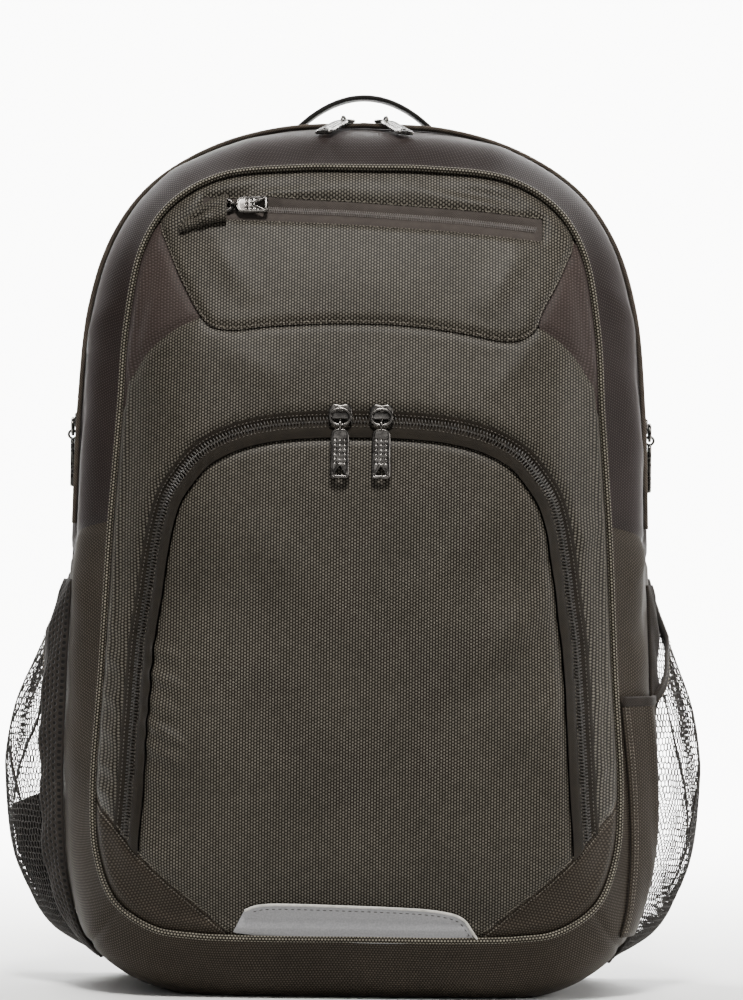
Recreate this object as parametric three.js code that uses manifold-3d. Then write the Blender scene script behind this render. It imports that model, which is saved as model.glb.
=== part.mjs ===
// Laptop backpack standing on its base: padded body with two compartments, an arched front pocket,
// a raised quick-access pocket, net side pockets, shoulder straps and zip hardware.
// Millimetres, +Z up, the front face looks along -Y, +X is to the right of someone facing it.
import * as THREE from 'three';
import { mergeVertices } from 'three/addons/utils/BufferGeometryUtils.js';
import Module from 'manifold-3d';

const wasm = await Module();
wasm.setup();

// Body
const BODY_HEIGHT = 477;
const BODY_WIDTH = 328;
const FRONT_REACH = 104;
const CLOTH = 2.2;
const GAP = 0.3;
const LAPTOP_FRONT = 48;
const LAPTOP_BACK = 88;
const BACK_CORNER = 5;
const BACK_PAD = 10;
const PAD_MARGIN = 13;
const PAD_UNDERCUT = 1;
const PAD_ROUND = 5;
const DIVIDER = 1.5;
const DIVIDER_SHARE = 0.2;

// Zips
const ZIP_WALL = 1.6;
const MAIN_ZIP_FRONT = 14;
const MAIN_ZIP_WIDTH = 10;
const MAIN_ZIP_END = 250;
const ZIP_REACH = 9;
const ZIP_SINK = 0.4;
const MOUTH_MIDDLE = 66;
const MOUTH_WIDTH = 12;
const MOUTH_END = 313;
const LAPTOP_ZIP_WIDTH = 8;
const LAPTOP_ZIP_LOW = 150;

// Front face
const SEAM_HEIGHT = 245;
const SEAM_FALL = 0.22;
const POCKET_WIDTH = 250;
const POCKET_DROP = 167;
const POCKET_TOP = BODY_HEIGHT - POCKET_DROP;
const POCKET_LOW = 33;
const TAPE_OUTSIDE = 5.5;
const TAPE_INSIDE = 9;
const QUICK_LIFT = 1.8;
const QUICK_WIDTH = 232;
const QUICK_DROP = 100;
const QUICK_ZIP_LEFT = -86;
const QUICK_ZIP_RIGHT = 96;
const QUICK_ZIP_HEIGHT = 10;
const QUICK_ZIP_DROP = 23.2;
const QUICK_ZIP_FALL = 10;
const CORNER_WIDTH = 74;
const CORNER_HEIGHT = 72;
const STRIP_WIDTH = 131;
const STRIP_HEIGHT = 20;
const STRIP_THICK = 0.8;
const STRIP_SAG = 1.5;
const QUICK_HINGE = -70.5;
const QUICK_PULL_LENGTH = 17;
const GARAGE_LENGTH = 21;
const GARAGE_HEIGHT = 17;
const GARAGE_RISE = 6.5;
const GARAGE_WALL = 1.4;
const GARAGE_STEPS = 8;
const GARAGE_FULLNESS = 0.6;

// Side pockets
const POCKET_BASE = 16;
const POCKET_MOUTH_FRONT = 163;
const POCKET_MOUTH_REAR = 226;
const POCKET_FRONT_Y = -12;
const POCKET_REAR_Y = 80;
const BULGE_LEFT = 30;
const BULGE_RIGHT = 25;
const NET_WALL = 1.2;
const BINDING_WALL = 2.4;
const BINDING_WIDTH = 7;
const FLANK_WALL = 1.4;
const FLANK_BULGE = 3;
const FLANK_LIFT = 17;

// Straps
const STRAP_WIDTH = 68;
const STRAP_THICK = 11;
const STRAP_TOP_DROP = 31;
const STRAP_DROP = 300;
const STRAP_SPREAD = 134;
const STRAP_STAND = 60;
const STRAP_BOW_RIGHT = 10;
const WEB_WIDTH = 20;
const WEB_THICK = 1.6;
const TAIL_LENGTH = 60;
const ADJUSTER_WIDTH = 30;
const ADJUSTER_HEIGHT = 24;
const ADJUSTER_THICK = 4;
const ADJUSTER_BAR = 4;
const ADJUSTER_CORNER = 2;
const WEB_LEAD = 5;
const WEB_SLACK = 3;
const WEB_APPROACH = 12;
const ANCHOR_WIDTH = 34;
const ANCHOR_HEIGHT = 34;
const ANCHOR_THICK = 3;
const ANCHOR_LEVEL = 30;
const LOOP_HALF = 50;
const LOOP_RISE = 18;
const LOOP_WIDTH = 20;
const LOOP_THICK = 2.6;
const LOOP_STEPS = 12;
const LOOP_FOOT_SHARE = 0.97;
const LOOP_FULLNESS = 1.9;
const LOOP_CLEAR = 2;

// Zip hardware
const PULL_WIDTH = 10;
const PULL_LENGTH = 27;
const PULL_THICK = 2;
const PULL_NECK = 2.8;
const PULL_SHOULDER = 3;
const PULL_CORNER = 2.5;
const PULL_HOLE = 5.2;
const PULL_RIM = 2.2;
const PULL_APEX = 4.5;
const EYE_RADIUS = 2.3;
const EYE_WIRE = 0.75;
const BAR_RADIUS = 0.95;
const BAR_HEIGHT = 3.6;
const SLIDER_WIDTH = 12;
const SLIDER_LENGTH = 9;
const SLIDER_BASE = 2;
const SLIDER_CORNER = 1.5;
const SLIDER_NOSE = 2;
const POST_SHARE = 0.4;
const POST_DEPTH = 2.4;
const POST_SET = 0.6;
const RING_INSET = 0.5;
const RING_SIDES = 10;
const WIRE_SIDES = 5;
const EYE_SIDES = 8;
const SMALL_SLIDER_WIDTH = 8;
const MAIN_SLIDER_X = 11.5;
const LOWER_SLIDER_X = 11;
const MAIN_LIE = 0.43;
const MAIN_DROOP = 0.27;
const MAIN_SLOPE = 0.04;

const HALF_WIDTH = BODY_WIDTH / 2;
const RING_STEPS = 24;
const FACE_CENTRE = 0.48 * BODY_HEIGHT;
const FACE_SCALES = [1, 0.965, 0.9, 0.78, 0.55, 0.26];
const SIDE_ROUNDNESS = 4.5;
const END_ROUNDNESS = 11.5;
const LIFT_SHARPNESS = 20;

// Outline of the body from the bottom centre to the top centre:
// up is a share of BODY_HEIGHT and half a share of half BODY_WIDTH.
const BODY_ROWS = [
  { up: 0, half: 0 }, { up: 0, half: 0.4 }, { up: 0.003, half: 0.6 }, { up: 0.018, half: 0.78 },
  { up: 0.055, half: 0.915 }, { up: 0.115, half: 0.98 }, { up: 0.21, half: 1 },
  { up: 0.36, half: 0.992 }, { up: 0.51, half: 0.977 }, { up: 0.67, half: 0.961 },
  { up: 0.785, half: 0.927 }, { up: 0.865, half: 0.852 }, { up: 0.925, half: 0.725 },
  { up: 0.97, half: 0.52 }, { up: 0.994, half: 0.28 }, { up: 1, half: 0 },
];

// The same rows where the gusset bends forward; ahead is a share of FRONT_REACH.
const GUSSET_ROWS = [
  { up: 0, half: 0, ahead: 0.56 }, { up: 0, half: 0.4, ahead: 0.56 },
  { up: 0.006, half: 0.57, ahead: 0.55 }, { up: 0.025, half: 0.73, ahead: 0.53 },
  { up: 0.062, half: 0.865, ahead: 0.46 }, { up: 0.12, half: 0.93, ahead: 0.37 },
  { up: 0.21, half: 0.958, ahead: 0.31 }, { up: 0.36, half: 0.952, ahead: 0.275 },
  { up: 0.515, half: 0.932, ahead: 0.24 }, { up: 0.668, half: 0.912, ahead: 0.22 },
  { up: 0.778, half: 0.88, ahead: 0.2 }, { up: 0.858, half: 0.812, ahead: 0.19 },
  { up: 0.915, half: 0.7, ahead: 0.17 }, { up: 0.957, half: 0.51, ahead: 0.15 },
  { up: 0.974, half: 0.28, ahead: 0.14 }, { up: 0.977, half: 0, ahead: 0.14 },
];

// The welted seam round the front face.
const WELT_ROWS = [
  { up: 0.069, half: 0, ahead: 0.8 }, { up: 0.069, half: 0.37, ahead: 0.8 },
  { up: 0.071, half: 0.53, ahead: 0.79 }, { up: 0.078, half: 0.66, ahead: 0.77 },
  { up: 0.108, half: 0.79, ahead: 0.7 }, { up: 0.16, half: 0.853, ahead: 0.6 },
  { up: 0.228, half: 0.868, ahead: 0.55 }, { up: 0.37, half: 0.846, ahead: 0.5 },
  { up: 0.52, half: 0.825, ahead: 0.47 }, { up: 0.66, half: 0.797, ahead: 0.44 },
  { up: 0.76, half: 0.778, ahead: 0.42 }, { up: 0.847, half: 0.728, ahead: 0.4 },
  { up: 0.895, half: 0.64, ahead: 0.39 }, { up: 0.928, half: 0.48, ahead: 0.385 },
  { up: 0.939, half: 0.22, ahead: 0.385 }, { up: 0.94, half: 0, ahead: 0.385 },
];

// Side view of the front face on its centre line.
const PROFILE_ROWS = [
  { up: 0, ahead: 0.58 }, { up: 0.07, ahead: 0.8 }, { up: 0.126, ahead: 0.93 },
  { up: 0.23, ahead: 0.99 }, { up: 0.315, ahead: 1 }, { up: 0.525, ahead: 0.942 },
  { up: 0.656, ahead: 0.846 }, { up: 0.778, ahead: 0.692 }, { up: 0.908, ahead: 0.48 },
  { up: 0.94, ahead: 0.385 },
];

// Teeth line of the arched pocket: half is a share of half POCKET_WIDTH,
// up a share of the height from POCKET_LOW to POCKET_TOP.
const ARCH_ROWS = [
  { half: 1, up: -0.2 }, { half: 1, up: 0.18 }, { half: 0.985, up: 0.27 },
  { half: 0.965, up: 0.42 }, { half: 0.94, up: 0.58 }, { half: 0.915, up: 0.66 },
  { half: 0.89, up: 0.74 }, { half: 0.865, up: 0.8 }, { half: 0.83, up: 0.853 },
  { half: 0.775, up: 0.893 }, { half: 0.69, up: 0.937 }, { half: 0.56, up: 0.97 },
  { half: 0.4, up: 0.99 }, { half: 0.15, up: 1 },
];

// Edge of the quick-access panel from its top left round to its top right:
// across is a share of half QUICK_WIDTH, down a share of QUICK_DROP below the top of the face.
const QUICK_ROWS = [
  { across: -1.12, down: -0.6 }, { across: -0.96, down: 0.3 }, { across: -0.895, down: 0.5 },
  { across: -0.83, down: 0.66 }, { across: -0.755, down: 0.81 }, { across: -0.7, down: 0.875 },
  { across: -0.6, down: 0.895 }, { across: -0.43, down: 0.872 }, { across: -0.02, down: 0.85 },
  { across: 0.22, down: 0.86 }, { across: 0.46, down: 0.895 }, { across: 0.67, down: 0.94 },
  { across: 0.75, down: 0.925 }, { across: 0.81, down: 0.87 }, { across: 0.84, down: 0.78 },
  { across: 0.92, down: 0.6 }, { across: 0.99, down: 0.4 }, { across: 1.14, down: -0.6 },
];

// Arc that ends the plain yokes, from the quick-access panel out to the welt.
const YOKE_ROWS = [
  { across: 0.7, down: 0.8 }, { across: 0.77, down: 0.84 }, { across: 0.86, down: 0.89 },
  { across: 0.95, down: 0.97 }, { across: 1.03, down: 1.07 }, { across: 1.09, down: 1.2 },
  { across: 1.13, down: 1.34 }, { across: 1.5, down: 1.36 },
];

// Net pocket: how far it stands out, by height, as shares of its height and of its bulge.
const BULGE_ROWS = [
  { up: 0, out: 0 }, { up: 0.03, out: 0.27 }, { up: 0.06, out: 0.46 }, { up: 0.105, out: 0.6 },
  { up: 0.16, out: 0.7 }, { up: 0.21, out: 0.81 }, { up: 0.26, out: 0.91 }, { up: 0.34, out: 0.97 },
  { up: 0.45, out: 1 }, { up: 0.52, out: 1 }, { up: 0.66, out: 0.83 }, { up: 0.785, out: 0.48 },
  { up: 0.885, out: 0.2 }, { up: 1, out: 0.03 },
];

// Hood over the quick-access slider from its closed end to its open one, as shares of its
// length and rise.
const GARAGE_ROWS = [
  { at: 0, rise: 0.35 }, { at: 0.35, rise: 0.8 }, { at: 0.7, rise: 1 }, { at: 1, rise: 0.95 },
];

// Edge of the reflective strip: across is a share of half its width, up of its height.
const STRIP_ROWS = [
  { across: -1, up: 0.225 }, { across: -0.62, up: 0.08 }, { across: 0, up: -0.02 },
  { across: 0.5, up: -0.015 }, { across: 1, up: 0.1 }, { across: 0.88, up: 0.675 },
  { across: 0.7, up: 0.87 }, { across: -0.1, up: 1 }, { across: -0.78, up: 1 },
  { across: -0.9, up: 0.86 },
];

// Lower corner panel, from its inner end on the strip up to the welt: across is a share of
// CORNER_WIDTH inwards from the welt, up of CORNER_HEIGHT above POCKET_LOW.
const CORNER_ROWS = [
  { across: 1.27, up: -1 }, { across: 1, up: 0.04 }, { across: 0.36, up: 0.6 },
  { across: 0, up: 1.03 }, { across: -0.5, up: 1.2 }, { across: -0.5, up: -1 },
];

// Edge of the base panel on one side: half is a share of half BODY_WIDTH, up of BODY_HEIGHT.
const BASE_ROWS = [
  { half: 0.756, up: 0.113 }, { half: 0.9, up: 0.042 }, { half: 1.2, up: 0.017 },
  { half: 1.2, up: -0.06 },
];

// Shoulder strap from its sewn top end to its lower end: across is a share of STRAP_SPREAD,
// stand of STRAP_STAND, down of STRAP_DROP, wide of STRAP_WIDTH and bow of STRAP_BOW_RIGHT.
const STRAP_ROWS = [
  { across: 0.38, stand: 0.06, down: 0, wide: 1, bow: 0 },
  { across: 0.42, stand: 0.4, down: 0.03, wide: 1, bow: 0 },
  { across: 0.55, stand: 0.78, down: 0.13, wide: 1, bow: 0.3 },
  { across: 0.75, stand: 0.98, down: 0.25, wide: 1, bow: 1 },
  { across: 0.88, stand: 1, down: 0.38, wide: 0.97, bow: 1 },
  { across: 0.95, stand: 0.9, down: 0.55, wide: 0.9, bow: 0.6 },
  { across: 0.98, stand: 0.68, down: 0.75, wide: 0.8, bow: 0.2 },
  { across: 1, stand: 0.46, down: 0.9, wide: 0.62, bow: 0 },
  { across: 1, stand: 0.42, down: 1, wide: 0.45, bow: 0 },
];

function material(color, roughness, metalness = 0) {
  return new THREE.MeshStandardMaterial({ color, roughness, metalness });
}

const finishes = {
  weave: () => material(0x3b3733, 0.75),
  plain: () => material(0x2b2624, 0.6),
  net: () => material(0x171514, 0.8),
  zip: () => material(0x221e1b, 0.65),
  metal: () => material(0x3c3a38, 0.3, 0.9),
  reflective: () => material(0x8f9092, 0.4),
  webbing: () => material(0x1e1b1a, 0.8),
  plastic: () => material(0x191817, 0.5),
};

// Geometry helpers

function trianglesToGeometry(points, faces) {
  const flat = [];
  let volume = 0;
  const cross = new THREE.Vector3();
  for (const [a, b, c] of faces) {
    volume += points[a].dot(cross.crossVectors(points[b], points[c]));
  }
  for (const [a, b, c] of faces) {
    const order = volume > 0 ? [a, b, c] : [a, c, b];
    for (const index of order) flat.push(...points[index].toArray());
  }
  const geometry = new THREE.BufferGeometry();
  geometry.setAttribute('position', new THREE.Float32BufferAttribute(flat, 3));
  return geometry;
}

function bandFaces(first, second, count) {
  const faces = [];
  for (let i = 0; i < count; i += 1) {
    const j = (i + 1) % count;
    faces.push([first + i, first + j, second + i], [first + j, second + j, second + i]);
  }
  return faces;
}

// A closed skin through a chain of rings, closed by a fan at each end point.
function chainGeometry(start, rings, end) {
  const count = rings[0].length;
  const points = [start, ...rings.flat(), end];
  const faces = [];
  for (let i = 0; i < count; i += 1) {
    const j = (i + 1) % count;
    faces.push([0, 1 + j, 1 + i]);
    const last = 1 + (rings.length - 1) * count;
    faces.push([points.length - 1, last + i, last + j]);
  }
  for (let k = 0; k + 1 < rings.length; k += 1) {
    faces.push(...bandFaces(1 + k * count, 1 + (k + 1) * count, count));
  }
  return trianglesToGeometry(points, faces);
}

// A closed skin through rings that come back to the first one.
function loopGeometry(rings) {
  const count = rings[0].length;
  const faces = [];
  for (let k = 0; k < rings.length; k += 1) {
    faces.push(...bandFaces(k * count, ((k + 1) % rings.length) * count, count));
  }
  return trianglesToGeometry(rings.flat(), faces);
}

function middleOf(ring) {
  const sum = new THREE.Vector3();
  for (const point of ring) sum.add(point);
  return sum.divideScalar(ring.length);
}

function sweptGeometry(sections) {
  return chainGeometry(middleOf(sections[0]), sections, middleOf(sections.at(-1)));
}

function toSolid(geometry) {
  const bare = geometry.clone();
  bare.deleteAttribute('normal');
  bare.deleteAttribute('uv');
  const merged = mergeVertices(bare, 1e-4);
  return new wasm.Manifold(new wasm.Mesh({
    numProp: 3,
    vertProperties: new Float32Array(merged.attributes.position.array),
    triVerts: new Uint32Array(merged.index.array),
  }));
}

function toGeometry(solid) {
  const mesh = solid.getMesh();
  const geometry = new THREE.BufferGeometry();
  geometry.setAttribute('position', new THREE.BufferAttribute(mesh.vertProperties, 3));
  geometry.setIndex(new THREE.BufferAttribute(mesh.triVerts, 1));
  return geometry;
}

// The largest body of a cut solid; the rest are slivers at the cut's edge.
function mainBody(solid) {
  const pieces = solid.decompose();
  pieces.sort((a, b) => b.volume() - a.volume());
  return pieces[0];
}

// Blocks that cut reach this far, which is past every piece.
const REACH = BODY_HEIGHT;

// A block along Y whose outline in X and Z is given.
function prismAlongY(outline) {
  const shape = new THREE.Shape(outline.map(([x, z]) => new THREE.Vector2(x, z)));
  const block = new THREE.ExtrudeGeometry(shape, { depth: 2 * REACH, bevelEnabled: false });
  block.rotateX(Math.PI / 2);
  block.translate(0, REACH, 0);
  return toSolid(block);
}

// A block along X whose outline in Y and Z is given.
function prismAlongX(outline) {
  const shape = new THREE.Shape(outline.map(([y, z]) => new THREE.Vector2(y, z)));
  const block = new THREE.ExtrudeGeometry(shape, { depth: 2 * REACH, bevelEnabled: false });
  block.rotateX(Math.PI / 2);
  block.rotateZ(Math.PI / 2);
  block.translate(-REACH, 0, 0);
  return toSolid(block);
}

// Moves every corner of a closed outline outwards by the distance.
function grown(outline, distance) {
  let area = 0;
  outline.forEach(([x, z], i) => {
    const [nx, nz] = outline[(i + 1) % outline.length];
    area += x * nz - nx * z;
  });
  const side = area > 0 ? 1 : -1;
  return outline.map(([x, z], i) => {
    const [px, pz] = outline[(i + outline.length - 1) % outline.length];
    const [nx, nz] = outline[(i + 1) % outline.length];
    const before = new THREE.Vector2(x - px, z - pz).normalize();
    const after = new THREE.Vector2(nx - x, nz - z).normalize();
    const normal = new THREE.Vector2(before.y + after.y, -before.x - after.x).normalize();
    const stretch = 1 / Math.max(0.5, normal.x * before.y - normal.y * before.x);
    return [x + normal.x * distance * side * stretch, z + normal.y * distance * side * stretch];
  });
}

// Smooth value of a column at a place along another column, from rows in rising order.
function columnAt(rows, along, column, place) {
  let k = rows.findIndex((row, i) => i > 0 && place <= row[along]);
  if (k < 0) k = rows.length - 1;
  const [a, b] = [rows[k - 1], rows[k]];
  const before = rows[k - 2] ?? a;
  const after = rows[k + 1] ?? b;
  const span = b[along] - a[along];
  const t = THREE.MathUtils.clamp((place - a[along]) / span, 0, 1);
  const slopeA = (b[column] - before[column]) / (b[along] - before[along]);
  const slopeB = (after[column] - a[column]) / (after[along] - a[along]);
  return (2 * t ** 3 - 3 * t ** 2 + 1) * a[column] + (t ** 3 - 2 * t ** 2 + t) * span * slopeA
    + (3 * t ** 2 - 2 * t ** 3) * b[column] + (t ** 3 - t ** 2) * span * slopeB;
}

// Rings of the body

function ringFrom(rows, depthOf) {
  const points = rows.map((row) => (
    new THREE.Vector3(row.half * HALF_WIDTH, depthOf(row), row.up * BODY_HEIGHT)));
  const half = new THREE.CatmullRomCurve3(points).getPoints(RING_STEPS);
  for (const point of half) point.z = Math.max(0, point.z);
  const mirrored = half.slice(1, -1).reverse();
  return [...half, ...mirrored.map((point) => new THREE.Vector3(-point.x, point.y, point.z))];
}

// Moves a ring inwards in X and Z by a distance, which may depend on the point.
function insetRing(ring, distanceOf) {
  return ring.map((point, i) => {
    const before = ring[(i + ring.length - 1) % ring.length];
    const after = ring[(i + 1) % ring.length];
    const along = new THREE.Vector2(after.x - before.x, after.z - before.z).normalize();
    const distance = distanceOf(point);
    return new THREE.Vector3(
      point.x - along.y * distance, point.y, point.z + along.x * distance);
  });
}

function shifted(ring, y) {
  return ring.map((point) => new THREE.Vector3(point.x, y, point.z));
}

const BASE_ROUND = 60;
const weltRing = ringFrom(WELT_ROWS, (row) => -row.ahead * FRONT_REACH);
const gussetRing = ringFrom(GUSSET_ROWS, (row) => -row.ahead * FRONT_REACH);
const bodyRing = ringFrom(BODY_ROWS, () => 0);

// The body outline at a depth, drawn in above the base, which stays flat.
function bodyRingAt(y, inset) {
  const drawnIn = (point) => inset * THREE.MathUtils.smoothstep(point.z, 0, BASE_ROUND);
  return shifted(insetRing(bodyRing, drawnIn), y);
}

const ZIP_DIP = 3.5;
const gussetRings = [
  weltRing.map((point) => new THREE.Vector3(point.x, point.y + GAP, point.z)),
  gussetRing,
  bodyRingAt(MAIN_ZIP_FRONT, ZIP_DIP),
  bodyRingAt(MAIN_ZIP_FRONT + MAIN_ZIP_WIDTH, ZIP_DIP - 1),
  bodyRingAt(LAPTOP_FRONT - GAP, 0),
];

// The part of an outline on one side or over the top, above a low and below a high level,
// with its outward directions in X and Z.
function outlinePath(ring, low, high, side) {
  const path = [];
  const wanted = (point) => point.z >= low && point.z <= high && (side === 0 || point.x * side > 0);
  ring.forEach((point, i) => {
    const next = ring[(i + 1) % ring.length];
    const before = ring[(i + ring.length - 1) % ring.length];
    const along = new THREE.Vector2(next.x - before.x, next.z - before.z).normalize();
    if (wanted(point)) path.push({ x: point.x, z: point.z, outX: along.y, outZ: -along.x });
    const edge = new THREE.Vector2(next.x - point.x, next.z - point.z).normalize();
    for (const level of [low, high]) {
      const t = (level - point.z) / (next.z - point.z);
      const x = point.x + (next.x - point.x) * t;
      if (t > 0 && t < 1 && (side === 0 || x * side > 0)) {
        path.push({ x, z: level, outX: edge.y, outZ: -edge.x });
      }
    }
  });
  return path;
}

// A strip that follows an outline path, between two depths and two distances from the outline.
function stripGeometry(path, yFront, yRear, outside, inside) {
  const corner = (spot, reach, y) => (
    new THREE.Vector3(spot.x + spot.outX * reach, y, spot.z + spot.outZ * reach));
  return sweptGeometry(path.map((spot) => [
    corner(spot, outside, yFront), corner(spot, outside, yRear),
    corner(spot, -inside, yRear), corner(spot, -inside, yFront),
  ]));
}

// Front face surface

function faceDepth(weltY, level, scale, power) {
  const middle = -FRONT_REACH * columnAt(PROFILE_ROWS, 'up', 'ahead', level / BODY_HEIGHT);
  return weltY + (middle - weltY) * (1 - scale ** power);
}

function edgePower(point) {
  const rise = point.z - FACE_CENTRE;
  const upright = (rise * rise) / (rise * rise + point.x * point.x);
  return THREE.MathUtils.lerp(SIDE_ROUNDNESS, END_ROUNDNESS, upright);
}

function faceRing(outline, scale, shift) {
  return outline.map((point, i) => {
    const z = FACE_CENTRE + (point.z - FACE_CENTRE) * scale;
    const y = faceDepth(weltRing[i].y, z, scale, edgePower(weltRing[i]));
    return new THREE.Vector3(point.x * scale, y + shift(scale), z);
  });
}

// Front wall as a shallow bowl of cloth, raised outwards by the lift.
function faceBowl(lift) {
  const drawnIn = insetRing(weltRing, () => CLOTH);
  const outside = FACE_SCALES.map((scale) => (
    faceRing(weltRing, scale, (s) => -lift * (1 - s ** LIFT_SHARPNESS))));
  const inside = FACE_SCALES.map((scale) => (
    faceRing(drawnIn, scale, (s) => (CLOTH - lift) * (1 - s ** LIFT_SHARPNESS))));
  const middle = faceDepth(0, FACE_CENTRE, 0, 1);
  return toSolid(chainGeometry(
    new THREE.Vector3(0, middle - lift, FACE_CENTRE),
    [...outside.reverse(), ...inside],
    new THREE.Vector3(0, middle - lift + CLOTH, FACE_CENTRE),
  ));
}

// Depth of the front face's outer surface at a place on it.
function faceYAt(x, z) {
  const rise = z - FACE_CENTRE;
  for (let i = 0; i < weltRing.length; i += 1) {
    const a = weltRing[i];
    const b = weltRing[(i + 1) % weltRing.length];
    const [az, bz] = [a.z - FACE_CENTRE, b.z - FACE_CENTRE];
    const whole = x * (bz - az) - rise * (b.x - a.x);
    const reach = (a.x * (bz - az) - az * (b.x - a.x)) / whole;
    const t = Math.abs(b.x - a.x) > Math.abs(bz - az)
      ? (x * reach - a.x) / (b.x - a.x) : (rise * reach - az) / (bz - az);
    if (reach > 0 && t >= 0 && t <= 1) {
      const edge = a.clone().lerp(b, t);
      const depthAt = (scale) => (
        faceDepth(edge.y, FACE_CENTRE + (edge.z - FACE_CENTRE) * scale, scale, edgePower(edge)));
      const scale = Math.min(0.999, 1 / reach);
      const k = FACE_SCALES.findIndex((step) => step <= scale);
      const [outer, inner] = k < 0 ? [FACE_SCALES.at(-1), 0] : [FACE_SCALES[k - 1], FACE_SCALES[k]];
      return THREE.MathUtils.mapLinear(scale, outer, inner, depthAt(outer), depthAt(inner));
    }
  }
  return faceDepth(0, z, 0, 1);
}

// Body side surface

function sideXAt(y, z) {
  const rings = [...gussetRings, bodyRingAt(LAPTOP_BACK - BACK_CORNER, 0),
    bodyRingAt(LAPTOP_BACK, BACK_CORNER)];
  const crossings = rings.map((ring) => {
    const half = ring.slice(0, RING_STEPS + 1);
    const k = Math.max(1, half.findIndex((point, i) => i > 0 && point.z >= z));
    const [a, b] = [half[k - 1], half[k]];
    const t = THREE.MathUtils.clamp((z - a.z) / (b.z - a.z || 1), 0, 1);
    return { x: a.x + (b.x - a.x) * t, y: a.y + (b.y - a.y) * t };
  });
  let k = crossings.findIndex((spot, i) => i > 0 && y <= spot.y);
  if (k < 0) k = crossings.length - 1;
  const [a, b] = [crossings[k - 1], crossings[k]];
  const t = THREE.MathUtils.clamp((y - a.y) / (b.y - a.y), 0, 1);
  return a.x + (b.x - a.x) * t;
}

// Body pieces

function gussetSolid() {
  const inside = gussetRings.map((ring) => insetRing(ring, () => CLOTH));
  const wall = toSolid(loopGeometry([...gussetRings, ...inside.reverse()]));
  const path = outlinePath(bodyRing, MAIN_ZIP_END, BODY_HEIGHT + 1, 0);
  const slot = toSolid(stripGeometry(
    path, MAIN_ZIP_FRONT, MAIN_ZIP_FRONT + MAIN_ZIP_WIDTH, ZIP_REACH, ZIP_REACH));
  return wall.subtract(slot);
}

function mainZip() {
  const path = outlinePath(bodyRing, MAIN_ZIP_END + GAP, BODY_HEIGHT + 1, 0);
  return stripGeometry(path, MAIN_ZIP_FRONT + GAP, MAIN_ZIP_FRONT + MAIN_ZIP_WIDTH - GAP,
    -ZIP_DIP, ZIP_DIP + ZIP_WALL);
}

// The slanted seam between the plain upper gusset and the woven lower one.
function gussetHalf(above) {
  const level = (y) => SEAM_HEIGHT - SEAM_FALL * y + (above ? GAP / 2 : -GAP / 2);
  const end = above ? BODY_HEIGHT + REACH : -REACH;
  return prismAlongX([[-REACH, level(-REACH)], [REACH, level(REACH)], [REACH, end], [-REACH, end]]);
}

// Outline of the region that the base panel covers, seen from the front.
function baseOutline() {
  const right = BASE_ROWS.map((row) => [row.half * HALF_WIDTH, row.up * BODY_HEIGHT]);
  return [...right, ...right.map(([x, z]) => [-x, z]).reverse()];
}

function halfSpace(side) {
  const far = side * REACH;
  return prismAlongY([[0, -REACH], [far, -REACH], [far, 2 * REACH], [0, 2 * REACH]]);
}

function frontDivider() {
  const welt = insetRing(gussetRings[0], () => CLOTH);
  const bend = insetRing(gussetRings[1], () => CLOTH);
  const edge = insetRing(welt.map((point, i) => point.clone().lerp(bend[i], DIVIDER_SHARE)),
    () => 2 * GAP);
  const back = edge.map((point) => new THREE.Vector3(point.x, point.y + DIVIDER, point.z));
  const middle = new THREE.Vector3(0, weltRing[RING_STEPS / 2].y + CLOTH, FACE_CENTRE);
  return chainGeometry(middle, [edge, back], middle.clone().setY(middle.y + DIVIDER));
}

function laptopOutside(extra) {
  const front = bodyRingAt(LAPTOP_FRONT - extra, -extra);
  const side = bodyRingAt(LAPTOP_BACK - BACK_CORNER, -extra);
  const back = bodyRingAt(LAPTOP_BACK + extra, BACK_CORNER - extra);
  const centre = (y) => new THREE.Vector3(0, y, FACE_CENTRE);
  return toSolid(chainGeometry(
    centre(LAPTOP_FRONT - extra), [front, side, back], centre(LAPTOP_BACK + extra)));
}

function laptopSlot(low, high, width, side) {
  const path = outlinePath(bodyRing, low, high, side);
  return toSolid(stripGeometry(
    path, MOUTH_MIDDLE - width / 2, MOUTH_MIDDLE + width / 2, ZIP_REACH, ZIP_REACH));
}

function laptopCompartment() {
  const thin = (ring) => insetRing(ring, () => CLOTH);
  const front = thin(bodyRingAt(LAPTOP_FRONT + CLOTH, 0));
  const side = thin(bodyRingAt(LAPTOP_BACK - BACK_CORNER - CLOTH / 2, 0));
  const back = thin(bodyRingAt(LAPTOP_BACK - CLOTH, BACK_CORNER));
  const centre = (y) => new THREE.Vector3(0, y, FACE_CENTRE);
  const hollow = toSolid(chainGeometry(
    centre(LAPTOP_FRONT + CLOTH), [front, side, back], centre(LAPTOP_BACK - CLOTH)));
  let wall = laptopOutside(0).subtract(hollow);
  wall = wall.subtract(laptopSlot(MOUTH_END, BODY_HEIGHT + 1, MOUTH_WIDTH, 0));
  for (const side of [-1, 1]) {
    wall = wall.subtract(laptopSlot(LAPTOP_ZIP_LOW, MOUTH_END + 1, LAPTOP_ZIP_WIDTH, side));
  }
  return wall;
}

function laptopZip(side) {
  const path = outlinePath(bodyRing, LAPTOP_ZIP_LOW + GAP, MOUTH_END - GAP, side);
  return stripGeometry(path, MOUTH_MIDDLE - LAPTOP_ZIP_WIDTH / 2 + GAP,
    MOUTH_MIDDLE + LAPTOP_ZIP_WIDTH / 2 - GAP, -ZIP_SINK, ZIP_WALL + ZIP_SINK);
}

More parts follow.
